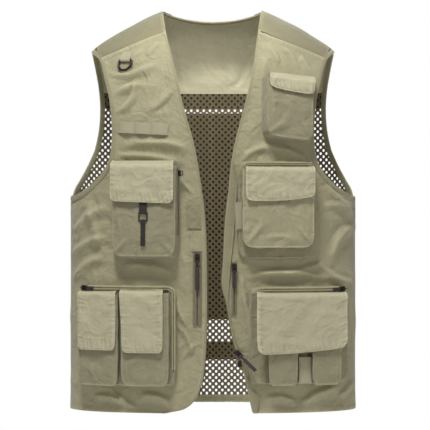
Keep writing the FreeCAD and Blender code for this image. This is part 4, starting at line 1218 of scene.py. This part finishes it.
def flap(body, plane, corners, sewn_height, lean, rise, seed, bow=0.0, curl=2.5,
         roundness=14.0, hem=6.0):
    """A pocket's flap: sewn to the cloth, over the fold and down, as one bent cloth."""
    columns = 84
    (x0, z0), (x1, z1) = corners[0], corners[1]
    s = np.linspace(-1, 1, columns)
    tall = abs(corners[3][1] - corners[0][1])
    hang = int(max(tall / 1.6, 14))
    top = 9
    sewn_x = np.interp(s, [-1, 1], [x0 + 2.0, x1 - 0.5])
    sewn_z = np.interp(s, [-1, 1], [z0, z1]) + 3.0 + rise
    sewn = skin(sewn_x if lean == 1.0 else foot(sewn_x, sewn_z, sewn_height, lean), sewn_z, FRONT,
                sewn_height + 1.6, lean)
    edge_z = np.interp(s, [-1, 1], [z0, z1]) + 1.6
    lift = FLAP_LIFT + 2.0
    edge = on_plane(plane, np.interp(s, [-1, 1], [x0, x1]), edge_z, lift - 0.6 + 0 * s)
    rows = [sewn * (1 - v) + edge * v for v in np.linspace(0, 1, top)]
    t = np.linspace(0, 1, hang)[1:, None]
    ss = s[None, :] + 0 * t
    tt = t + 0 * ss
    size = np.maximum(np.abs(ss), tt)
    round_size = (np.abs(ss) ** roundness + tt ** roundness) ** (1 / roundness)
    factor = size / np.maximum(round_size, 1e-6)
    ss, tt = ss * factor, tt * factor
    x, z = in_corners(corners, ss, 2 * tt - 1)
    z = z - bow * (1 - ss ** 2) * tt ** 2
    away = np.minimum((1 - np.abs(ss)) * abs(x1 - x0) / 2, (1 - tt) * tall)
    relief = curl * tt ** 2.2 + 0.9 * waves(x + 0.4 * z, seed, (70, 45, 120)) * tt
    relief = relief + (1.0 * cloud(x, z, seed + 3, 44) + 0.4 * cloud(x, z, seed + 4, 20)
                       ) * smooth(away / 9)
    relief = relief - 1.6 * np.exp(-(away / 3.0) ** 2) * smooth(tt * 3)
    hanging = on_plane(plane, x, z, lift + relief)
    base = np.concatenate([np.array(rows), hanging])
    # the bend over the fold is rounded by averaging each row there with its neighbours
    for _ in range(8):
        window = slice(top - 3, top + 5)
        mean = 0.5 * (base[top - 4:top + 4] + base[top - 2:top + 6])
        base[window] = 0.5 * base[window] + 0.5 * mean
    form = Form()
    hems = {"left": hem, "right": hem, "bottom": hem}
    sewn_sheet(form, base, OUT_FRONT, 1.5, hems, None, seed, 1.3, 0.7, (1.2,))
    # the flaps take the khaki lightened as painted light
    piece = finish_piece(body + "_cloth", form, [LIT_KHAKI, THREAD], None,
                         [body, "flap_tops"])
    middle = on_plane(plane, (x0 + x1) / 2, (z0 + z1) / 2, lift)
    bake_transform(piece)
    flat = (lengths(base, 1)[:, -1].mean() * MM, lengths(base, 0)[-1].mean() * MM)


def on_small_pocket(x, z):
    return (fold(x, z, (94, -214), (128, -190), 8, 2.0)
            + fold(x, z, (168, -222), (150, -196), 7, 1.6))


def on_mid_pocket(x, z):
    return (fold(x, z, (56, -402), (84, -366), 8, 2.6)
            + fold(x, z, (168, -402), (140, -370), 8, 2.6)
            + fold(x, z, (84, -392), (138, -392), 7, 1.8, 3))


def on_chest_pocket(x, z):
    return (fold(x, z, (-168, -418), (-146, -392), 6, 2.4)
            + fold(x, z, (-156, -400), (-158, -360), 6, 1.6)
            + fold(x, z, (-66, -420), (-90, -396), 7, 1.6))


ON_BODY = BODY_HEIGHT - 1.0
ON_REAR = MID_REAR_HEIGHT - 1.0
curved_pocket("lower_pocket_right", box_corners(-233, -62.5, -473.5, -644), BODY_HEIGHT,
              crown=0.5, seed=101, fill=0.3, roundness=14.0)
curved_pocket("lower_pocket_left", box_corners(62, 234, -475, -641), BODY_HEIGHT, crown=0.5,
              seed=111, fill=0.3, roundness=14.0)
curved_pocket("mid_pocket_rear", box_corners(42, 172, -262.5, -428.5), MID_REAR_HEIGHT,
              crown=0.8, seed=121, fill=0.3, roundness=10.0)
flat_pocket("chest_pocket_right", CHEST_PLANE, CHEST_FACE, CHEST_BASE, 0.8, 1.0, crown=2.2,
            seed=131, sag=0.3, flap_end=-334, extra=on_chest_pocket)
flat_pocket("small_pocket_left", SMALL_PLANE, SMALL_FACE, SMALL_BASE, 0.8, 1.0, crown=2.4,
            seed=141, flap_end=-146, fill=0.6, roundness=7.0, extra=on_small_pocket,
            face_steps=48)
# the mid pocket takes the plain khaki, without the painted shade of the other pockets
flat_pocket("mid_pocket_left", MID_PLANE, MID_FACE, MID_FACE, ON_REAR, POCKET_FLAT, crown=2.2,
            seed=151, flap_end=-330, extra=on_mid_pocket, cloth=KHAKI)
flat_pocket("cell_pocket_outer", OUTER_PLANE, OUTER_FACE, OUTER_FACE, ON_BODY, POCKET_FLAT,
            crown=1.6, seed=161, flap_end=-582, face_steps=56)
flat_pocket("cell_pocket_inner", INNER_PLANE, INNER_FACE, INNER_FACE, ON_BODY, POCKET_FLAT,
            crown=1.6, seed=171, flap_end=-586, face_steps=56)
for cell, cell_face, cell_seed in zip(("inner", "outer"), LEFT_CELLS, (181, 191)):
    flat_pocket("lower_left_cell_" + cell, LEFT_PLANE, cell_face, cell_face, ON_BODY, POCKET_FLAT,
                crown=1.4, seed=cell_seed, flap_end=-588, face_steps=48,
                stands_for="lower_left_cells")

flap("chest_flap", CHEST_PLANE, CHEST_FLAP, ON_CLOTH - 1.2, 1.0, 5.0, 201,
     hem=8.0)
flap("outer_cell_flap", OUTER_PLANE, OUTER_FLAP, ON_BODY, POCKET_FLAT, 0.0, 211,
     hem=8.5)
flap("inner_cell_flap", INNER_PLANE, INNER_FLAP, ON_BODY, POCKET_FLAT, 0.0, 221,
     hem=8.5)
flap("small_flap", SMALL_PLANE, SMALL_FLAP, ON_CLOTH - 1.2, 1.0, 4.0, 231,
     bow=2.0, curl=1.5, roundness=8.0, hem=4.0)
flap("mid_flap", MID_PLANE, MID_FLAP, ON_REAR, POCKET_FLAT, 0.5, 241,
     bow=3.5)
flap("lower_left_flap", LEFT_PLANE, LEFT_FLAP, ON_BODY, POCKET_FLAT, 0.0, 251,
     bow=2.5, hem=8.5)


# ---- zips, webbing, loops and patches ----

D_RING_BAR = 6.0
TETHER_BAR = 2.6
STRAP_BAR_DROP = 13.0


def beside_path(path, low, high, columns):
    """x and z of a strip's grid, from low to high beside a path of (x, z) points."""
    step = 1.6
    path = np.array(path, float)
    reach = np.concatenate([[0], np.cumsum(np.hypot(*np.diff(path, axis=0).T))])
    wanted = np.linspace(0, reach[-1], max(int(reach[-1] / step), 8))
    places = at_reach(path, reach, wanted)
    aside = sideways(places)
    off = np.linspace(low, high, columns)
    return places[:, :1] + aside[:, :1] * off, places[:, 1:] + aside[:, 1:] * off


def corner_path(x0, x1, z_top, z_bottom, radius):
    """Across from x0 to x1, then round a corner and down to z_bottom."""
    turn = math.copysign(radius, x1 - x0)
    angle = np.linspace(0, math.pi / 2, 12)
    corner = list(zip(x1 - turn + turn * np.sin(angle), z_top - radius + radius * np.cos(angle)))
    return [(x0, z_top)] + corner + [(x1, z_bottom)]


def on_chest(x, z, height):
    return skin(x, z, FRONT, ON_CLOTH + height)


def on_lower(x, z, height):
    return skin(foot(x, z, BODY_HEIGHT), z, FRONT, BODY_HEIGHT + height, POCKET_FLAT)


def on_mid_rear(x, z, height):
    return skin(foot(x, z, MID_REAR_HEIGHT), z, FRONT, MID_REAR_HEIGHT + height, POCKET_FLAT)


def on_chest_wall(x, z, height):
    """The zipped side wall of the chest pocket; x is the share of its depth."""
    base = skin(np.full_like(z, -55.6), z, FRONT, ON_CLOTH)
    face = on_plane(CHEST_PLANE, np.full_like(z, -64.0), z)
    out = np.cross((face - base), (0, 0, 1.0))
    out /= np.linalg.norm(out, axis=-1, keepdims=True)
    out = np.where(out[..., :1] < 0, -out, out)
    return base + (face - base) * x[..., None] + out * np.asarray(height)[..., None]


def zip_strip(name, path, half, gap, place, lift=1.3, out=OUT_FRONT, coil=1.5,
              material=ZIP_TAPE):
    """A closed zip: two stitched tapes, and the coil between them as a piece of its own."""
    form = Form()
    for low, high in ((-half, -gap), (gap, half)):
        x, z = beside_path(path, low, high, 7)
        share = np.linspace(0, 1, 7) if low < 0 else np.linspace(1, 0, 7)
        roll = 0.5 * np.exp(-((share - 1) / 0.2) ** 2) + 0.9 * np.sin(math.pi * share) ** 0.6
        roll = roll * min(half / 3.2, 1.0) + 0.2 * waves(x + z, 300, (9, 15, 24))
        points = place(x, z, lift + roll + 0 * x)
        normal = form.sheet(points, 0.8, out, 0)
        outer = "left" if low < 0 else "right"
        line, up = inset_line(points, normal, outer, 1.1, 1.0)
        form.stitches(line, up, 1, 2.4, 0.26)
    piece = finish_piece(name + "_cloth", form, [material, THREAD], "vest", [name])
    x, z = beside_path(path, -0.01 * half, 0.01 * half, 3)
    points = place(x, z, lift + 0.1 + 0 * x)
    line = points[:, 1]
    up = grid_normals(points, out)[:, 1]
    form = Form()
    form.stitches(line, up, 0, 1.5, 0.55, 0.2, coil)
    finish_piece(name.replace("tape", "coil"), form, [ZIP_COIL], "vest")


def main_tape(sign, name, edge, z0, z1, width):
    """The tape of one side of the main zip, sewn under the free edge."""
    z = np.linspace(z0, z1, 200)[:, None]
    off = np.linspace(0.0, width, 8)[None, :]
    x = sign * (edge(z) + off)
    form = Form()
    points = skin(x, z + 0 * x, FRONT, -0.4 + 0.2 * waves(z, 311, (14, 22, 37)) + 0 * x)
    normal = form.sheet(points, 1.0, OUT_FRONT, 0)
    line, up = inset_line(points, normal, "left", width * 0.6, 1.0)
    form.stitches(line, -up, 1, 2.6, 0.3, 1.0)
    piece = finish_piece(name + "_cloth", form, [ZIP_TAPE, THREAD], "vest", [name])


def main_coils():
    """The two open rows of coil, each on a cord along its front's edge."""
    form = Form()
    for sign, edge, z0, z1 in ((-1, right_edge, -318, -640), (1, left_edge, -318, -596)):
        z = np.linspace(z0, z1, 240)
        angle = np.linspace(0, 2 * math.pi, 8, endpoint=False)[None, :]
        x = sign * (edge(z)[:, None] - 0.4 + 0.7 * np.cos(angle))
        form.tube(skin(x, z[:, None] + 0 * x, FRONT, 0.4 + 0.7 * np.sin(angle)))
        line = skin(sign * (edge(z) - 0.4), z, FRONT, 0.4)
        up = line - skin(sign * (edge(z) - 0.4), z, FRONT, -1.0)
        form.stitches(line, up, 1, 1.5, 0.6, 0.2, 1.3)
    finish_piece("main_zip_coils", form, [ZIP_TAPE, ZIP_COIL], "vest",
                 ["main_zip_teeth"])


def webbing_level(x, share):
    """Height of the tool webbing at x, from its upper edge (share 0) to its lower one (1)."""
    return -194.0 - 4.5 * (x + 159) / 82 - 19.5 * share


def tool_webbing():
    """Webbing tacked down at four places, standing off in three loops."""
    tacks = (-159, -133, -106, -77)
    stitched_share = np.linspace(0.08, 0.92, 20)
    x = np.concatenate([np.linspace(a, b, 17)[:-1] for a, b in zip(tacks, tacks[1:])])
    x = np.concatenate([[-161.4, -160.2], x, [-77.0, -75.4]])[None, :]
    z = webbing_level(x, np.linspace(0, 1, 16)[:, None])
    part = np.interp(x, tacks, (0, 1, 2, 3)) % 1.0
    rise = 3.4 * np.sin(math.pi * part) ** 0.8 + 0.25 * waves(x + z, 321, (15, 31, 22)) * part
    form = Form()
    points = on_chest(x + 0 * z, z, 1.6 + rise + 0 * z)
    form.sheet(points, 1.5, OUT_FRONT, 0)
    for tack in tacks:
        tack_z = webbing_level(tack, stitched_share)
        tack_x = np.full_like(tack_z, tack)
        line = on_chest(tack_x, tack_z, np.full_like(tack_z, 1.6))
        up = line - on_chest(tack_x, tack_z, np.zeros_like(tack_z))
        form.stitches(line, up, 1, 0.85, 0.34, 0.2, 1.2)
    piece = finish_piece("tool_webbing_cloth", form, [WEBBING, THREAD], "vest",
                         ["tool_webbing"])


def sewn_patch(name, corners, place, thick, material, stands_for, frame_back=2.0, lift=0.0,
               crown=0.4, seed=331, lines=1, thread=0.36):
    """A small flat piece stitched down all round."""
    s, t = np.meshgrid(np.linspace(-1, 1, 26), np.linspace(-1, 1, 30))
    x, z = in_corners(corners, s, t)
    dome = (1 - s ** 4) * (1 - t ** 4)
    soft = crown * dome + 0.25 * cloud(x, z, seed, 14) * dome
    form = Form()
    points = place(x, z, lift + thick + soft)
    normal = form.sheet(points, thick, OUT_FRONT, 0)
    for edge in EDGES:
        for number in range(lines):
            back = frame_back * (1 + 1.2 * number)
            line, up = inset_line(points, normal, edge, back, back)
            form.stitches(line, up, 1, 2.2, thread)
    piece = finish_piece(name, form, [material, THREAD], "vest", stands_for)


def local_frame(point, out, hang):
    """A point with the directions across, along and out of a tape that hangs there."""
    out = unit(np.array(out, float))
    hang = np.array(hang, float)
    along = unit(hang - out * (out @ hang))
    return point, np.cross(along, out), along, out


def frame_on_skin(x, z, height, hang):
    point = skin(x, z, FRONT, height)
    aside = skin(x + 0.5, z, FRONT, height) - skin(x - 0.5, z, FRONT, height)
    upward = skin(x, z + 0.5, FRONT, height) - skin(x, z - 0.5, FRONT, height)
    return local_frame(point, np.cross(aside, upward), hang)


def folded_tape(name, frame, width, start, bar, level, radius, material, body, stands_for,
                thick=1.2, rest=0.9, tacks=(), below=False, end_bulk=0.0):
    """Tape that runs over a bar and comes back under itself, or hangs from the bar."""
    origin, across, along, out = frame
    turn = np.radians(np.linspace(250, 90, 18) if below else np.linspace(90, -100, 18))
    over = [(bar + radius * math.cos(a), level + radius * math.sin(a)) for a in turn]
    if below:
        run = np.linspace(bar + 0.6, start, 40)[1:]
        share = (run - bar) / (start - bar)
        bulk = end_bulk * smooth((share - 0.55) / 0.06)
        path = over + list(zip(run, level + radius - 0.9 * smooth(share * 4) + bulk))
    else:
        run = np.linspace(start, bar - 0.4, 24)[:-1]
        share = smooth((run - start) / (bar - start))
        back = np.linspace(bar - 1.5, start + 1.0, 18)
        path = list(zip(run, rest + 1.3 + (level + radius - rest - 1.3) * share)) + over
        path += list(zip(back, np.interp(back, [start, bar], [rest, level - radius])))
    path = np.array(path)
    side = np.linspace(-width / 2, width / 2, 9)
    points = (origin + path[:, None, :1] * along + path[:, None, 1:] * out
              + side[None, :, None] * across)
    form = Form()
    form.sheet(points, thick * 0.5, out, 0)
    upper = path if below else path[:24]
    for place in tacks:
        height = np.interp(place, upper[:, 0], upper[:, 1])
        line = (origin + along * place + out * height
                + across * np.linspace(-0.38, 0.38, 12)[:, None] * width)
        form.stitches(line, np.repeat(out[None], 12, 0), 1, 1.2, 0.32, 0.2)
    thread = BLACK_THREAD if material == BLACK_WEBBING else THREAD
    piece = finish_piece(name, form, [material, thread], body, stands_for)


zip_strip("lower_right_zip_tape", corner_path(-222, -66.5, -477.5, -615, 12), 3.2, 0.6, on_lower,
          1.7, coil=1.0, material=KHAKI)
zip_strip("lower_left_zip_tape", [(226, -479.5), (84, -479.5)], 3.2, 0.6, on_lower,
          1.7, coil=1.0, material=KHAKI)
zip_strip("mid_zip_tape", [(56, -266.3), (168, -266.3)], 2.2, 0.4, on_mid_rear,
          1.7, coil=0.7, material=KHAKI)
zip_strip("chest_zip_tape", [(0.5, -276), (0.5, -388)], 0.2, 0.03, on_chest_wall,
          1.3, (1.0, 0, 0))
zip_strip("right_placket_zip_tape", [(-26.5, -418), (-26.5, -540)], 7.5, 0.9, on_chest,
          1.2, coil=1.7)
zip_strip("left_placket_zip_tape", [(36, -434), (36, -522)], 4.5, 0.9, on_chest,
          1.2, coil=1.5)
main_tape(-1, "main_zip_tape_right", right_edge, -306, -672, 11.0)
main_tape(1, "main_zip_tape_left", left_edge, -308, -600, 10.0)
main_coils()
tool_webbing()
# the id patch takes the khaki darkened as painted shade
sewn_patch("id_patch_cloth", box_corners(-44, -20, -333, -376), on_chest, 1.2, SHADED_KHAKI,
           ["id_patch"], 1.5, 0.5, lines=2, thread=0.62)
sewn_patch("placket_patch", box_corners(-37, -18, -381, -415), on_chest, 1.0, KHAKI, [],
           1.6, 0.3, lines=2, seed=335)
sewn_patch("pull_tab_cloth", box_corners(38, 49.5, -332, -378), on_mid_rear, 1.3, WEBBING,
           ["mid_pull_tab"], 1.5, 0.6, seed=337)
sewn_patch("lower_left_strap_cloth", box_corners(145, 166, -594, -639), on_lower, 1.5, WEBBING,
           ["lower_left_strap"], 2.2, 6.0, seed=339)


def touch_patch(name, plane, corners):
    """Soft half of a touch fastener on a pocket's face."""
    def place(x, z, height):
        return on_plane(plane, x, z, height)

    x0, x1, z0, z1 = corners
    sewn_patch("touch_patch_" + name, box_corners(x0, x1, z0, z1), place, 1.2, TOUCH,
               ["loop_patches"], 1.2, 0.1, crown=0.0)


for patch, patch_plane, patch_corners in (
        ("chest_outer", CHEST_PLANE, (-160, -130, -308, -324)),
        ("chest_inner", CHEST_PLANE, (-106, -76, -308, -324)),
        ("outer_cell", OUTER_PLANE, (-212, -180, -556, -574)),
        ("inner_cell", INNER_PLANE, (-132, -100, -558, -576)),
        ("small", SMALL_PLANE, (118, 150, -134, -144)),
        ("mid_inner", MID_PLANE, (70, 100, -304, -320)),
        ("mid_outer", MID_PLANE, (124, 154, -301, -317)),
        ("left_inner", LEFT_PLANE, (104, 134, -558, -574)),
        ("left_outer", LEFT_PLANE, (178, 208, -556, -572))):
    touch_patch(patch, patch_plane, patch_corners)
D_RING_FRAME = frame_on_skin(-147, -91, 0.0, (0, 0, -1))
TETHER_FRAME = local_frame(on_plane(CHEST_PLANE, -117.5, -350.0), CHEST_PLANE[3], (0, 0, -1))
folded_tape("d_ring_tape", D_RING_FRAME, 18.0, -17.0, 0.0, D_RING_BAR, 3.2, WEBBING, "vest",
            ["d_ring_loop"], 1.6, 4.3, (-14.5, -5.5))
folded_tape("tether_tab_cloth", TETHER_FRAME, 13.0, -32.0, 0.0, TETHER_BAR, 2.2, BLACK_WEBBING,
            "vest", ["tether_tab"], 1.6, tacks=(-29.5, -27.0, -6.0))
folded_tape("tether_strap_cloth", TETHER_FRAME, 8.0, 56.0, STRAP_BAR_DROP, TETHER_BAR, 2.0,
            BLACK_WEBBING, "tether_strap", ["tether_strap"], 2.0,
            tacks=(38.0, 40.5, 54.0), below=True, end_bulk=1.0)


# ---- carried-over CAD pieces ----

def finish_of(node_name):
    """The material of a CAD node that stays: metal, apart from the moulded parts."""
    moulded = "puller" in node_name or node_name == "tether_ring"
    return PLASTIC if moulded else METAL


for cad_name, cad_object in frame["nodes"].items():
    if not cad_object.hide_render:
        cad_object.data.materials.clear()
        cad_object.data.materials.append(finish_of(cad_name))


# ---- stage, light and camera ----

FLOOR_REACH = 2.2
FLOOR_LEVEL = -1.02
FLOOR_CORNERS = 96
WORLD_LIGHT = 0.2
CAMERA_PLACE = (0.0035, -3.6, -0.3535)
CAMERA_LENS_MM = 172.0
CAMERA_SENSOR_MM = 36.0
CAMERA_REACH = 60.0


def studio():
    """A pale floor, and a world that is white to the camera and dimmer as a light."""
    floor_mesh = bpy.data.meshes.new("floor")
    turns = np.linspace(0, 2 * math.pi, FLOOR_CORNERS, endpoint=False)
    rim = [(FLOOR_REACH * math.cos(turn), FLOOR_REACH * math.sin(turn), FLOOR_LEVEL)
           for turn in turns]
    floor_mesh.from_pydata(rim, [], [tuple(range(FLOOR_CORNERS))])
    material, tree, shader = new_material("pale_floor")
    shader.inputs["Base Color"].default_value = (0.97, 0.97, 0.96, 1)
    shader.inputs["Roughness"].default_value = 0.8
    floor_mesh.materials.append(material)
    floor = bpy.data.objects.new("floor", floor_mesh)
    bpy.context.scene.collection.objects.link(floor)
    world = bpy.data.worlds.new("studio")
    world.use_nodes = True
    bpy.context.scene.world = world
    tree = world.node_tree
    tree.nodes.clear()
    seen = node(tree, "ShaderNodeBackground", {"Color": (1, 1, 1, 1), "Strength": 1.0})
    lit = node(tree, "ShaderNodeBackground",
               {"Color": (1, 0.99, 0.97, 1), "Strength": WORLD_LIGHT})
    path = node(tree, "ShaderNodeLightPath")
    both = node(tree, "ShaderNodeMixShader", {"Fac": path.outputs["Is Camera Ray"]})
    tree.links.new(lit.outputs[0], both.inputs[1])
    tree.links.new(seen.outputs[0], both.inputs[2])
    output = tree.nodes.new("ShaderNodeOutputWorld")
    tree.links.new(both.outputs[0], output.inputs[0])


def soft_light(name, place, aim, size, power, cone=180):
    """A round area light of some watts; the cone is in degrees."""
    light = bpy.data.lights.new(name, "AREA")
    light.spread = math.radians(cone)
    light.shape = "DISK"
    light.size = size
    light.energy = power
    lamp = bpy.data.objects.new(name, light)
    lamp.location = place
    lamp.rotation_mode = "QUATERNION"
    lamp.rotation_quaternion = (Vector(aim) - Vector(place)).to_track_quat("-Z", "Y")
    bpy.context.scene.collection.objects.link(lamp)


def camera():
    data = bpy.data.cameras.new("camera")
    data.lens = CAMERA_LENS_MM
    data.sensor_width = CAMERA_SENSOR_MM
    data.clip_end = CAMERA_REACH
    made = bpy.data.objects.new("camera", data)
    made.location = CAMERA_PLACE
    made.rotation_euler = (math.pi / 2, 0, 0)
    bpy.context.scene.collection.objects.link(made)
    bpy.context.scene.camera = made


studio()
soft_light("key", (-0.35, -1.35, 2.0), (0, 0, -0.25), 0.6, 57)
soft_light("fill", (1.6, -2.6, 0.3), (0, 0, -0.4), 1.6, 8)
soft_light("neck", (0, -0.75, 0.45), (0, 0.1, -0.09), 0.16, 0.16, 34)
soft_light("rim", (0.4, 2.2, 1.5), (0, 0, -0.3), 1.8, 40)
camera()
bpy.context.scene.view_settings.view_transform = "Standard"
